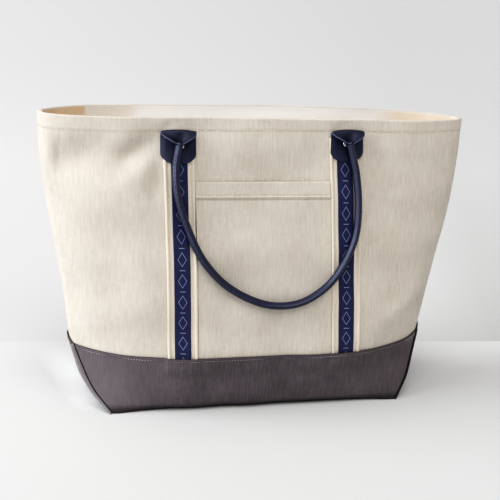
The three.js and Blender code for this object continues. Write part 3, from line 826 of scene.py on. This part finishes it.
def pocket_path():
    """Rows up the face, over the fold and down the back: height, and lift off the panel."""
    radius = (POCKET_HEM_FACE - POCKET_BACK) / 2
    step = np.linspace(0, pi / 2, POCKET_STEP_ROWS)
    step_lift = POCKET_FACE + (POCKET_HEM_FACE - POCKET_FACE) * np.sin(step)
    step_foot = POCKET_HEM_FOOT - POCKET_HEM_STEP
    seam_top = POCKET_HEM_FOOT + POCKET_HEM_SEAM
    over = np.linspace(0, pi, ROUND_ROWS)[1:]
    return np.concatenate([
        stretch(np.linspace(POCKET_FOOT, step_foot, POCKET_FACE_ROWS), POCKET_FACE),
        stretch(POCKET_HEM_FOOT - POCKET_HEM_STEP * np.cos(step), step_lift),
        stretch(np.linspace(POCKET_HEM_FOOT, seam_top, POCKET_SEAM_ROWS)[1:], POCKET_HEM_FACE),
        stretch(np.linspace(seam_top, POCKET_TOP - radius, POCKET_HEM_ROWS)[1:], POCKET_HEM_FACE),
        stretch(POCKET_TOP - radius * (1 - np.sin(over)), POCKET_HEM_FACE - radius * (1 - np.cos(over))),
        stretch(np.linspace(POCKET_BACK_TOP, POCKET_FOOT, POCKET_BACK_ROWS), POCKET_BACK),
        [(POCKET_FOOT, POCKET_FACE)],
    ])


def pocket_sides(z, gap):
    reach = STRAP_HALF + gap
    return strap_x("front_left", z) + reach, strap_x("front_right", z) - reach


def pocket_slack(x, z):
    """How far the pocket's mouth stands off the panel."""
    wide = hump(x - POCKET_SLACK_MIDDLE, POCKET_SLACK_HALF)
    return POCKET_SLACK * wide * smooth_step(POCKET_SLACK_FROM, POCKET_TOP, z)


def pocket_place(u, v):
    z, lift = on_path(pocket_path(), v)
    left, right = pocket_sides(z, POCKET_SIDE_GAP)
    x = left + (right - left) * np.interp(u, POCKET_SHARES, POCKET_STOPS)
    middle = (POCKET_FACE + POCKET_BACK) / 2
    from_side = np.minimum(x - left, right - x)
    lift = middle + (lift - middle) * smooth_step(0, POCKET_SIDE_ROUND, from_side)
    relief = np.where(lift > middle, humps(z - POCKET_HEM_FOOT, POCKET_RELIEF), 0)
    lift = lift + pocket_slack(x, z) + relief
    return skin_at_x(x, z, FRONT, lift), np.column_stack((x, z)) + POCKET_THREADS


pocket = grid_piece("pocket_cloth", POCKET_CELLS, len(pocket_path()) - 1, cream_canvas, pocket_place)
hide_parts("pocket")

# Straps
# Four straps of cream canvas, folded in along both sides and sewn flat to the panels from the base up to
# the handle tabs. The folded sides stand up as rounded ridges beside the lines of stitching.
STRAP_BACK = 0.0003
STRAP_FACE = 0.0019
STRAP_TOP = 0.349
STRAP_STITCH_IN = 0.0050
STRAP_RELIEF = [
    # height, distance in from the side, half width
    (0.0017, 0.0022, 0.0019),
    (-0.0006, STRAP_STITCH_IN, 0.0009),
]
STRAP_THREADS = 0.1
STRAP_CELLS = 64
STRAP_ROWS = 110


def strap_height(name, v):
    """Heights on a strap at shares v of its length, from its foot under the base's edge."""
    foot_across = across_at(strap_x(name, BASE_HEIGHT), np.full_like(v, BASE_HEIGHT))
    foot = base_top_at(foot_across) - TUCK_DEPTH
    return foot + (STRAP_TOP - foot) * v


def strap_place(u, v, name):
    face = STRAP_LINES[name][0]
    offset, lift = band_section(u, STRAP_HALF, STRAP_BACK, STRAP_FACE)
    z = strap_height(name, v)
    from_edge = STRAP_HALF - np.abs(offset)
    lift = lift + humps(from_edge, STRAP_RELIEF) * smooth_step(STRAP_BACK, STRAP_FACE, lift)
    points = skin_at_x(strap_x(name, z) + offset, z, face, lift)
    return points, np.column_stack((offset, z + STRAP_THREADS * face))


cream_webbing = canvas_material(
    "cream_webbing", colour(229, 220, 208), colour(215, 205, 192), colour(170, 140, 110), 0.0007, 0.08
)
for name in STRAP_LINES:
    strap = grid_piece(f"strap_{name}_cloth", STRAP_CELLS, STRAP_ROWS, cream_webbing, strap_place, name)
    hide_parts("strap_" + name)

# Ribbons
# A navy ribbon is sewn down the middle of each strap. It is woven with a plain repeat of thin pale
# lozenges and bars, in a thread a little brighter than the ground.
RIBBON_HALF = 0.010
RIBBON_BACK = 0.0020
RIBBON_FACE = 0.0031
RIBBON_CELLS = 28
RIBBON_PITCH = 0.0006
LOZENGE_PERIOD = 0.027
LOZENGE_HALF_WIDTH = 0.0052
LOZENGE_HALF_HEIGHT = 0.0085
LOZENGE_LINE = (0.11, 0.05)
BAR_HALF_WIDTH = 0.0034
BAR_HALF_HEIGHT = 0.0005
MOTIF_SHARE = 0.8
MOTIF_HEIGHT = 0.6


def ribbon_place(u, v, name):
    offset, lift = band_section(u, RIBBON_HALF, RIBBON_BACK, RIBBON_FACE)
    z = strap_height(name, v)
    points = skin_at_x(strap_x(name, z) + offset, z, STRAP_LINES[name][0], lift)
    return points, np.column_stack((offset, z))


def ribbon_material():
    """Ribbed navy ground, with lozenge outlines and short bars of pale thread."""
    material, nodes = new_material("navy_ribbon")
    (across, along), cloth = add_cotton(nodes, RIBBON_PITCH)
    off = nodes.math("ABSOLUTE", across)
    from_end = nodes.math("PINGPONG", along, LOZENGE_PERIOD / 2)
    along = nodes.math("SUBTRACT", LOZENGE_PERIOD / 2, from_end)
    reach = nodes.plus(
        nodes.math("DIVIDE", off, LOZENGE_HALF_WIDTH),
        nodes.math("DIVIDE", along, LOZENGE_HALF_HEIGHT),
    )
    outline = nodes.between(nodes.math("ABSOLUTE", nodes.math("SUBTRACT", reach, 1)), *LOZENGE_LINE)
    bar = nodes.times(
        nodes.math("LESS_THAN", from_end, BAR_HALF_HEIGHT),
        nodes.math("LESS_THAN", off, BAR_HALF_WIDTH),
    )
    motif = nodes.math("MAXIMUM", outline, bar)
    ground = nodes.mix(cloth["Slubs"], colour(54, 61, 97), colour(43, 48, 78))
    height = nodes.plus(cloth["Yarns"], nodes.times(motif, MOTIF_HEIGHT))
    nodes.surface({
        "Base Color": nodes.mix(nodes.times(motif, MOTIF_SHARE), ground, colour(158, 162, 196)),
        "Roughness": 0.62,
        "Specular IOR Level": 0.35,
        "Sheen Weight": 0.15,
        "Normal": nodes.bump(height, 0.4, 0.00025),
    })
    return material


navy_ribbon = ribbon_material()
for name in STRAP_LINES:
    ribbon = grid_piece(f"ribbon_{name}_cloth", RIBBON_CELLS, STRAP_ROWS, navy_ribbon, ribbon_place, name)
    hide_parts("ribbon_" + name)

# Handles
# Each handle is one strip of navy leather. Its wide round-ended tabs lie on the straps, and the strip
# folds forward over each tab's top and rolls up, edge to edge, into a stitched tube that hangs down.
LEATHER = 0.002
TAB_HALF = 0.0215
TAB_FOOT = 0.013
TAB_BACK = 0.0035
TAB_FACE = 0.0055
TAB_EDGE_DIP = 0.0016
TAB_DIP_FROM = 0.7
TAB_ARCH = 0.0022
TAB_ROW_SHARES = (0, 0.5, 0.8, 1)
TAB_TIP = TAB_FOOT * 0.25
TUBE_RADIUS = 0.0046
TUBE_RIDGE = 1.45
TUBE_SEAM_DEPTH = 0.0004
TUBE_SEAM_HALF = 0.0004
TUBE_CROWDING = 1.35
SEAM_UP = 0.25
FOLD_RADIUS = 0.00225
FLARE_FOLD = (0.1, 0.4)
FLARE_LENGTH = 0.0134
FLARE_GIRTH = 0.025
FLARE_FLAT = 0.01
FLARE_CLOSED = 6.0
FLARE_POWER = 0.85
FLARE_LEATHER = 0.0016
FLARE_EDGE = 0.03
FLARE_TAPER = ((0, 0.75, 1), (1, 1, 0.6))
FLARE_THREADS = 0.03
FLARE_BACK = TAB_FACE - LEATHER / 2 + 2 * FOLD_RADIUS
TUBE_START_SHARE = 0.82
TUBE_START_LIFT = FLARE_BACK + FLARE_GIRTH / FLARE_CLOSED
HANDLES = {
    # name: face, tabs as (x, top, height), route as (x, z, lift)
    "handle_front": (
        FRONT,
        [(-0.1112, 0.3551, 0.0385), (0.101, 0.357, 0.0375)],
        [
            (-0.1155, 0.3150, 0.0116), (-0.1124, 0.2800, 0.0093), (-0.1008, 0.2430, 0.0088),
            (-0.0815, 0.2035, 0.0088), (-0.0487, 0.1683, 0.0088), (0.0000, 0.1457, 0.0088),
            (0.0415, 0.1465, 0.0088), (0.0760, 0.1646, 0.0088), (0.0970, 0.1905, 0.0088),
            (0.1120, 0.2266, 0.0090), (0.1153, 0.2620, 0.0093), (0.1110, 0.3080, 0.0112),
        ],
    ),
    "handle_back": (
        BACK,
        [(-0.106, 0.356, 0.041), (0.106, 0.356, 0.041)],
        [
            (-0.109, 0.313, 0.0116), (-0.110, 0.270, 0.0093), (-0.103, 0.225, 0.0088),
            (-0.080, 0.181, 0.0088), (-0.042, 0.152, 0.0088), (0.000, 0.143, 0.0088),
            (0.042, 0.152, 0.0088), (0.080, 0.181, 0.0088), (0.103, 0.225, 0.0088),
            (0.110, 0.270, 0.0093), (0.109, 0.313, 0.0116),
        ],
    ),
}
TUBE_CELLS = 40
TUBE_ROWS = 260
ROUTE_STEPS = 24


def tab_place(u, v, tab, face):
    tab_x, top, height = tab
    straight = height - TAB_FOOT
    down = np.interp(v, TAB_ROW_SHARES, (0, straight, height - TAB_TIP, height))
    round_part = np.clip((down - straight) / TAB_FOOT, 0, 1)
    half = TAB_HALF * np.sqrt(1 - round_part ** 2)
    offset, lift = band_section(u, TAB_HALF, TAB_BACK, TAB_FACE)
    side = offset / TAB_HALF
    edge = np.maximum(np.abs(side), round_part * np.sqrt(1 - side ** 2 * (1 - round_part)))
    lift = lift - TAB_EDGE_DIP * smooth_step(TAB_DIP_FROM, 1, edge)
    arch = TAB_ARCH * side ** 2 * smooth_step(straight, 0, down)
    points = skin_at_x(tab_x + side * half, top - down - arch, face, lift)
    return points, np.column_stack((side * half, down + face))


def flare_middle(tab, face, share, way):
    """The middle of the leather where it folds over the tab's top and its edges roll in to meet."""
    tab_x, top, height = tab
    fold_start, fold_end = FLARE_FOLD
    turn = np.interp(way, FLARE_FOLD, (0, pi))
    rolled = np.interp(way, (fold_end, 1), (0, 1))
    before_fold = np.interp(way, (0, fold_start), (2 * LEATHER, 0))
    down = before_fold - FOLD_RADIUS * np.sin(turn) + FLARE_LENGTH * rolled
    lift = TAB_FACE - LEATHER / 2 + FOLD_RADIUS * (1 - np.cos(turn))
    girth = 2 * TAB_HALF + (FLARE_GIRTH - 2 * TAB_HALF) * rolled
    angle = np.maximum(FLARE_CLOSED * rolled ** FLARE_POWER, FLARE_FLAT)
    radius = girth / angle
    swing = share * angle / 2
    down = down + TAB_ARCH * share ** 2 * (1 - rolled)
    return skin_at_x(tab_x + radius * np.sin(swing), top - down, face, lift + radius * (1 - np.cos(swing)))


def flare_place(u, v, tab, face):
    share, side = band_section(u, 1, -FLARE_EDGE, FLARE_EDGE)
    step = 0.004
    over = flare_middle(tab, face, share + step, v) - flare_middle(tab, face, share - step, v)
    along = flare_middle(tab, face, share, v + step) - flare_middle(tab, face, share, v - step)
    normal = unit(np.cross(over, along) * face)
    out = side / FLARE_EDGE * FLARE_LEATHER / 2 * np.interp(v, *FLARE_TAPER)
    points = flare_middle(tab, face, share, v) + normal * out[:, None]
    return points, np.column_stack((share * TAB_HALF, v * FLARE_THREADS + 2 + face))


def lengths_along(points):
    return np.concatenate([[0], np.cumsum(np.linalg.norm(np.diff(points, axis=0), axis=1))])


def curve_between(knots, count):
    """Points from the second to the third of four knots, on a smooth curve through them all."""
    spans = np.sqrt(np.linalg.norm(np.diff(knots, axis=0), axis=1))
    times = np.concatenate([[0], np.cumsum(spans)])
    t = np.linspace(times[1], times[2], count, endpoint=False)[:, None]
    layers = list(knots)
    for ends in (((0, 1), (1, 2), (2, 3)), ((0, 2), (1, 3)), ((1, 2),)):
        layers = [
            ((times[b] - t) * low + (t - times[a]) * high) / (times[b] - times[a])
            for (a, b), low, high in zip(ends, layers, layers[1:])
        ]
    return layers[0]


def tube_frame(handle):
    """Points spaced evenly along the tube, the ways its seam faces, the ways across it, and its length."""
    face, tabs, route = HANDLES[handle]
    first, last = ((x, top - FLARE_LENGTH * TUBE_START_SHARE, TUBE_START_LIFT) for x, top, height in tabs)
    x, z, lift = np.array([first, *route, last]).T
    knots = skin_at_x(x, z, face, lift)
    padded = np.concatenate([[2 * knots[0] - knots[1]], knots, [2 * knots[-1] - knots[-2]]])
    curve = [curve_between(padded[i:i + 4], ROUTE_STEPS) for i in range(len(padded) - 3)]
    curve = np.concatenate([*curve, knots[-1:]])
    lengths = lengths_along(curve)
    even = np.linspace(0, lengths[-1], TUBE_ROWS + 1)
    line = np.column_stack([np.interp(even, lengths, way) for way in curve.T])
    ahead = unit(np.gradient(line, axis=0))
    facing = np.array((0, face, SEAM_UP))
    seam = unit(facing - ahead * (ahead @ facing)[:, None])
    return line, seam, np.cross(ahead, seam), lengths[-1]


def tube_radius(turn):
    """Half of the tube's thickness at a turn away from the seam, which stands out as a ridge."""
    contact = np.arccos(1 / TUBE_RIDGE)
    off = np.abs(turn)
    ridge = np.where(off < contact, 1 / np.cos(contact - np.minimum(off, contact)), 1)
    return TUBE_RADIUS * ridge - TUBE_SEAM_DEPTH * hump(off * TUBE_RADIUS, TUBE_SEAM_HALF)


def tube_place(u, v, handle):
    line, seam, over, length = tube_frame(handle)
    row = np.rint(v * TUBE_ROWS).astype(int)
    spread = 2 * u - 1
    turn = pi * np.sign(spread) * np.abs(spread) ** TUBE_CROWDING
    across = seam[row] * np.cos(turn)[:, None] + over[row] * np.sin(turn)[:, None]
    points = line[row] + across * tube_radius(turn)[:, None]
    return points, np.column_stack((turn * TUBE_RADIUS, v * length))


PEBBLE_CELLS = 1500.0
PEBBLE_SHARE = 0.6
PORE_PATCHES = 620.0
CLOUD_PATCHES = 70.0
CLOUD_RANGE = (0.3, 0.7)


def leather_group():
    """Leather: pebbled grain, pores and soft clouding."""
    nodes, start, end = new_group("leather grain", {"Place": "NodeSocketVector"}, ("Grain", "Clouds"))
    place = start["Place"]
    pebbles = nodes.add("ShaderNodeTexVoronoi", {"Vector": place, "Scale": PEBBLE_CELLS}, feature="F1")
    raised = nodes.times(pebbles.outputs["Distance"], PEBBLE_SHARE)
    nodes.wire(end, {
        "Grain": nodes.plus(raised, nodes.noise(place, PORE_PATCHES, 4.0)),
        "Clouds": nodes.between(nodes.noise(place, CLOUD_PATCHES, 4.0), *CLOUD_RANGE),
    })
    return nodes.tree


# The flare's cut edges are painted paler, partly as their own colour and partly as a painted highlight on the
# ridges.
CUT_EDGE_AND_HIGHLIGHT_BAND = (TAB_HALF * 0.93, TAB_HALF * 0.99)
CLOUD_ROUGHNESS = 0.12


def leather_material(name, deep, pale, roughness, gloss, edge=None):
    """Dyed leather, with a bluish gloss. edge is the colour of its cut edges, which are paler and also carry
    a painted highlight along the flare's ridges.
    """
    material, nodes = new_material(name)
    grain = nodes.add("ShaderNodeGroup", {"Place": nodes.place()}, node_tree=leather_grain).outputs
    dye_and_painted_light = nodes.mix(grain["Clouds"], deep, pale)
    # Paler cut edges, with a painted highlight along the ridges.
    if edge:
        off = nodes.math("ABSOLUTE", nodes.split(nodes.threads())[0])
        dye_and_painted_light = nodes.mix(nodes.between(off, *CUT_EDGE_AND_HIGHLIGHT_BAND), dye_and_painted_light, edge)
    nodes.surface({
        "Base Color": dye_and_painted_light,
        "Roughness": nodes.plus(nodes.times(grain["Clouds"], CLOUD_ROUGHNESS), roughness),
        "Specular IOR Level": gloss,
        "Specular Tint": colour(222, 228, 255),
        "Normal": nodes.bump(grain["Grain"], 0.3, 0.0002),
    })
    return material


leather_grain = leather_group()
# One leather in three colourings: the tabs a little paler than the tube as painted light, the flares darker
# as painted shade in their hollows.
tab_leather = leather_material("tab_leather", colour(40, 41, 57), colour(53, 55, 77), 0.45, 0.8)
tube_leather = leather_material("tube_leather", colour(38, 39, 56), colour(48, 50, 70), 0.3, 1.0)
flare_leather = leather_material(
    "flare_leather", colour(26, 27, 42), colour(36, 38, 58), 0.5, 0.8, colour(88, 90, 112)
)
TAB_PARTS = [
    # part, cells, rows, leather, place
    ("tab", 56, 44, tab_leather, tab_place),
    ("flare", 72, 46, flare_leather, flare_place),
]
for name, (face, tabs, route) in HANDLES.items():
    tube = grid_piece(name + "_tube", TUBE_CELLS, TUBE_ROWS, tube_leather, tube_place, name)
    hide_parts(name)
    for tab, side in zip(tabs, ("left", "right")):
        for part, *grid in TAB_PARTS:
            grid_piece(f"{name}_{part}_{side}", *grid, tab, face)

# Rivets
# A small domed steel rivet goes through each tab, the strap and the panel, and holds the handle.
RIVET_RADIUS = 0.004
RIVET_HEIGHT = 0.0018
RIVET_LIFT = TAB_FACE + 0.0003
RIVET_STEPS = 24
TARNISH_PATCHES = 900.0
TARNISH_RANGE = (0.35, 0.65)
TARNISH_ROUGHNESS = 0.35
RIVET_SEAT = ((0, 0), (RIVET_RADIUS, 0), (-RIVET_RADIUS, 0), (0, RIVET_RADIUS), (0, -RIVET_RADIUS))
RIVET_PROFILE = ((0, 1), (0.35, 0.95), (0.62, 0.78), (0.86, 0.48), (0.97, 0.2), (1, 0), (0.7, -0.25))
RIVETS = {
    # name: face, x, z
    "rivet_front_left": (FRONT, -0.1083, 0.3390),
    "rivet_front_right": (FRONT, 0.0986, 0.3430),
    "rivet_back_left": (BACK, -0.106, 0.339),
    "rivet_back_right": (BACK, 0.106, 0.339),
}


def steel_material():
    """Bright steel with a little tarnish."""
    material, nodes = new_material("steel")
    tarnish = nodes.between(nodes.noise(nodes.place(), TARNISH_PATCHES, 3.0), *TARNISH_RANGE)
    nodes.surface({
        "Base Color": nodes.mix(tarnish, colour(214, 214, 216), colour(178, 178, 182)),
        "Metallic": 1.0,
        "Roughness": nodes.times(tarnish, TARNISH_ROUGHNESS),
    })
    return material


def rivet_place(u, v, face, x, z):
    """The profile turned once round, on a seat that lies on the tab."""
    sides, climbs = np.array(RIVET_SEAT).T
    seat, right_of, left_of, over, under = skin_at_x(x + sides, z + climbs, face, RIVET_LIFT)
    away = unit(np.cross(right_of - left_of, over - under) * -face)
    axes = np.array(facing_back(Vector(away)))[:3, :3]
    out, up = on_path(np.array(RIVET_PROFILE), v)
    turn = 2 * pi * u
    around = np.column_stack((out * np.cos(turn), out * np.sin(turn))) * RIVET_RADIUS
    points = seat + np.column_stack((around, up * RIVET_HEIGHT)) @ axes.T
    return points, around


steel = steel_material()
for name, (face, x, z) in RIVETS.items():
    rivet = grid_piece(name + "_dome", RIVET_STEPS, len(RIVET_PROFILE) - 1, steel, rivet_place, face, x, z)
    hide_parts(name)

# Stitching
# Lines of cream thread hold the hems, the straps and the pocket, pale thread the base's edge, and navy
# thread the tubes. Each stitch is a short length of thread, sunk at both ends.
STITCH_RADIUS = 0.00048
THREAD_TWISTS = 2600.0
WORN_RANGE = (0.38, 0.62)
SEAM_REACH = 1.9
HEM_THREAD_LIFT = 0.0002
BASE_THREAD_LIFT = BASE_FACE + 0.0003
STRAP_THREAD_LIFT = STRAP_FACE - 0.0003
STRAP_SEAM = (BASE_HEIGHT + 0.002, 0.330)
POCKET_SEAM_GAP = 0.001
TUBE_STITCH_TURN = 0.40
TUBE_STITCH_SINK = 0.0001
TUBE_BARE_ROWS = 6
HEM_LINE_POINTS = 900
BASE_LINE_POINTS = 1200
STRAP_LINE_POINTS = 500
POCKET_LINE_POINTS = 400

bead_shape = bmesh.new()
bmesh.ops.create_uvsphere(bead_shape, u_segments=6, v_segments=5, radius=1)
bead = bpy.data.meshes.new("stitch")
bead_shape.to_mesh(bead)
bead_shape.free()


def thread_material(name, pale, deep, patches):
    """Twisted thread, paler and deeper in patches, given as their number in a metre."""
    material, nodes = new_material(name)
    place = nodes.place()
    worn = nodes.between(nodes.noise(place, patches, 2.0), *WORN_RANGE)
    nodes.surface({
        "Base Color": nodes.mix(worn, pale, deep),
        "Roughness": 0.75,
        "Normal": nodes.bump(nodes.noise(place, THREAD_TWISTS, 2.0), 0.5, 0.0002),
    })
    return material


cream_thread = thread_material("cream_thread", colour(240, 232, 218), colour(205, 193, 176), 400.0)
pale_thread = thread_material("pale_thread", colour(190, 184, 182), colour(106, 100, 102), 24.0)
navy_thread = thread_material("navy_thread", colour(52, 56, 92), colour(30, 32, 56), 400.0)


def add_stitches(shape, points, normals, pitch, shown):
    """Stitches at an even pitch along a line of points."""
    lengths = lengths_along(points)
    for start in np.arange(pitch / 2, lengths[-1] - pitch, pitch):
        ends = (start, start + pitch * shown)
        first, last = (Vector([np.interp(end, lengths, way) for way in points.T]) for end in ends)
        row = int(np.searchsorted(lengths, start + pitch * shown / 2))
        along = last - first
        side = along.cross(Vector(normals[min(row, len(normals) - 1)])).normalized()
        top = side.cross(along).normalized()
        axes = Matrix((side * STITCH_RADIUS, top * STITCH_RADIUS, along / 2)).transposed().to_4x4()
        stitch = bead.copy()
        stitch.transform(Matrix.Translation((first + last) / 2) @ axes)
        shape.from_mesh(stitch)
        bpy.data.meshes.remove(stitch)


def on_cloth(across, z, face, lift):
    """A line of points on the cloth, and the ways out of it."""
    return skin(across, z, face, lift), outward(across, z, face)


across = np.linspace(-SEAM_REACH, SEAM_REACH, HEM_LINE_POINTS)
z = rim_at(across) - hem_at(across)
hem_lines = [on_cloth(across, z, face, HEM_THREAD_LIFT) for face in (FRONT, BACK)]

base_lines = []
across = np.linspace(-SEAM_REACH, SEAM_REACH, BASE_LINE_POINTS)
z = base_top_at(across) - BASE_STITCH_DROP
for face in (FRONT, BACK):
    bulge = tucked_layers(shape_point(across, z, face)[:, 0], z, face)
    base_lines.append(on_cloth(across, z, face, BASE_THREAD_LIFT + bulge + crease_relief(across, z)))

strap_lines = []
z = np.linspace(*STRAP_SEAM, STRAP_LINE_POINTS)
for name in STRAP_LINES:
    for side in (-1, 1):
        across = across_at(strap_x(name, z) + side * (STRAP_HALF - STRAP_STITCH_IN), z)
        strap_lines.append(on_cloth(across, z, STRAP_LINES[name][0], STRAP_THREAD_LIFT))

z = np.full(POCKET_LINE_POINTS, POCKET_HEM_FOOT + POCKET_STITCH_RISE)
x = np.linspace(*pocket_sides(z[0], POCKET_SEAM_GAP), len(z))
pocket_lines = [on_cloth(across_at(x, z), z, FRONT, POCKET_HEM_FACE + pocket_slack(x, z))]

tube_lines = []
tube_stitch_radius = tube_radius(np.array(TUBE_STITCH_TURN)) - TUBE_STITCH_SINK
for name in HANDLES:
    line, seam, over, length = tube_frame(name)
    way = seam * cos(TUBE_STITCH_TURN) + over * sin(TUBE_STITCH_TURN)
    points = line + way * tube_stitch_radius
    tube_lines.append((points[TUBE_BARE_ROWS:-TUBE_BARE_ROWS], way[TUBE_BARE_ROWS:-TUBE_BARE_ROWS]))

SEAMS = {
    # name: lines, pitch, share of it that shows, thread, slot
    "hem_stitches": (hem_lines, 0.0047, 0.72, cream_thread, "cream_canvas"),
    "base_stitches": (base_lines, 0.0036, 0.55, pale_thread, "grey_canvas"),
    "strap_stitches": (strap_lines, 0.0040, 0.70, cream_thread, "cream_webbing"),
    "pocket_stitches": (pocket_lines, 0.0040, 0.70, cream_thread, "cream_canvas"),
    "tube_stitches": (tube_lines, 0.0052, 0.62, navy_thread, "navy_leather"),
}
for name, (lines, pitch, shown, thread, slot) in SEAMS.items():
    seam_shape = bmesh.new()
    for points, normals in lines:
        add_stitches(seam_shape, points, normals, pitch, shown)
    finished(name, seam_shape, thread)

# Floor and light
# The bag stands on a pale floor, painted with a line where the backdrop begins. The floor is painted a
# little paler behind the bag and in a pool by its left end as painted light, and the backdrop's tones
# past the line darken to the right as painted shade. Broad light comes from a window on the left and from
# the ceiling. A small key light stands low on the left, and a larger one high at the back.
FLOOR_HALF = 60.0
FLOOR_DROP = 0.0004
HORIZON_SLANT = 0.094
HORIZON = (0.1345, 0.1365)
# Painted light: the floor is a little paler behind the bag, and pale in a pool by its left end.
FLOOR_NEAR = (0.02, 0.11)
POOL_SLANT = 0.25
POOL_LEFT = (-0.262, -0.225)
POOL_RIGHT = (-0.16, -0.20)
POOL_FRONT = (-0.095, -0.06)
POOL_BACK = (0.12, 0.02)
# The backdrop's tones, with painted shade towards the right.
BACKDROP_AWAY = 1.26
BACKDROP_RIGHT = (-0.2, 0.24)
BACKDROP_CORNER = (0.19, 0.29)
BACKDROP_LOW = (1.3, 0.3)
LIGHT_AIM = Vector((0, 0, 0.12))
LIGHTS = {
    # name: degrees left of the front, degrees up, distance, size, watts
    "key_light": (77, 6, 0.9, 0.32, 1.25),
    "back_light": (120, 60, 2.0, 1.2, 4.8),
}
SUN_SPREAD = radians(50)
SUNS = {
    # name: degrees left of the front, degrees up, strength, colour
    "window": (90, 30, 2.22, (0.93, 0.975, 1.0)),
    "ceiling": (0, 60, 1.70, (1.0, 0.98, 0.95)),
}
ROOM_LIGHT = 0.392


def floor_material():
    """Floor up to the painted line, with painted light behind the bag and by its left end, and the backdrop's
    tones past it, with painted shade towards the right, most of all near the line.
    """
    material, nodes = new_material("floor")
    x, y = nodes.split(nodes.place())[:2]
    behind = nodes.plus(nodes.times(x, HORIZON_SLANT), y)
    along = nodes.math("SUBTRACT", x, nodes.times(y, HORIZON_SLANT))
    # Painted light, a little paler behind the bag.
    ground = nodes.mix(nodes.between(behind, *FLOOR_NEAR), colour(209, 209, 209), colour(216, 216, 216))
    # A pool of painted light by the bag's left end.
    slanted = nodes.plus(nodes.times(behind, POOL_SLANT), x)
    pool = 1.0
    for way, edge in ((slanted, POOL_LEFT), (x, POOL_RIGHT), (behind, POOL_FRONT), (behind, POOL_BACK)):
        pool = nodes.times(pool, nodes.between(way, *edge))
    ground = nodes.mix(pool, ground, colour(252, 252, 252))
    # Painted shade: the backdrop darkens towards the right, most of all near the line.
    right = nodes.math("DIVIDE", along, nodes.plus(behind, BACKDROP_AWAY))
    high = nodes.mix(nodes.between(right, *BACKDROP_RIGHT), colour(221, 221, 221), colour(206, 206, 206))
    low = nodes.mix(nodes.between(right, *BACKDROP_CORNER), colour(211, 211, 211), colour(194, 194, 193))
    backdrop = nodes.mix(nodes.between(behind, *BACKDROP_LOW), high, low)
    nodes.surface({
        "Base Color": nodes.mix(nodes.between(behind, *HORIZON), ground, backdrop),
        "Roughness": 0.6,
        "Specular IOR Level": 0.2,
    })
    return material


floor_shape = bmesh.new()
bmesh.ops.create_grid(floor_shape, x_segments=1, y_segments=1, size=FLOOR_HALF)
bmesh.ops.translate(floor_shape, verts=floor_shape.verts, vec=(0, 0, -FLOOR_DROP))
floor_mesh = bpy.data.meshes.new("floor")
floor_shape.to_mesh(floor_mesh)
floor_shape.free()
floor_mesh.materials.append(floor_material())
floor = bpy.data.objects.new("floor", floor_mesh)
scene.collection.objects.link(floor)


def new_light(name, kind, energy, turned):
    light = bpy.data.objects.new(name, bpy.data.lights.new(name, kind))
    light.data.energy = energy
    light.matrix_world = turned
    scene.collection.objects.link(light)
    return light.data


for name, (turn, climb, distance, size, watts) in LIGHTS.items():
    way = way_to(turn, climb)
    lamp = new_light(name, "AREA", watts, Matrix.Translation(LIGHT_AIM + way * distance) @ facing_back(way))
    lamp.shape = "DISK"
    lamp.size = size
for name, (turn, climb, strength, tint) in SUNS.items():
    sun = new_light(name, "SUN", strength, facing_back(way_to(turn, climb)))
    sun.angle = SUN_SPREAD
    sun.color = tint

room = bpy.data.worlds.new("room")
room.use_nodes = True
room.node_tree.nodes["Background"].inputs["Color"].default_value = (1.0, 1.0, 1.0, 1)
room.node_tree.nodes["Background"].inputs["Strength"].default_value = ROOM_LIGHT
scene.world = room
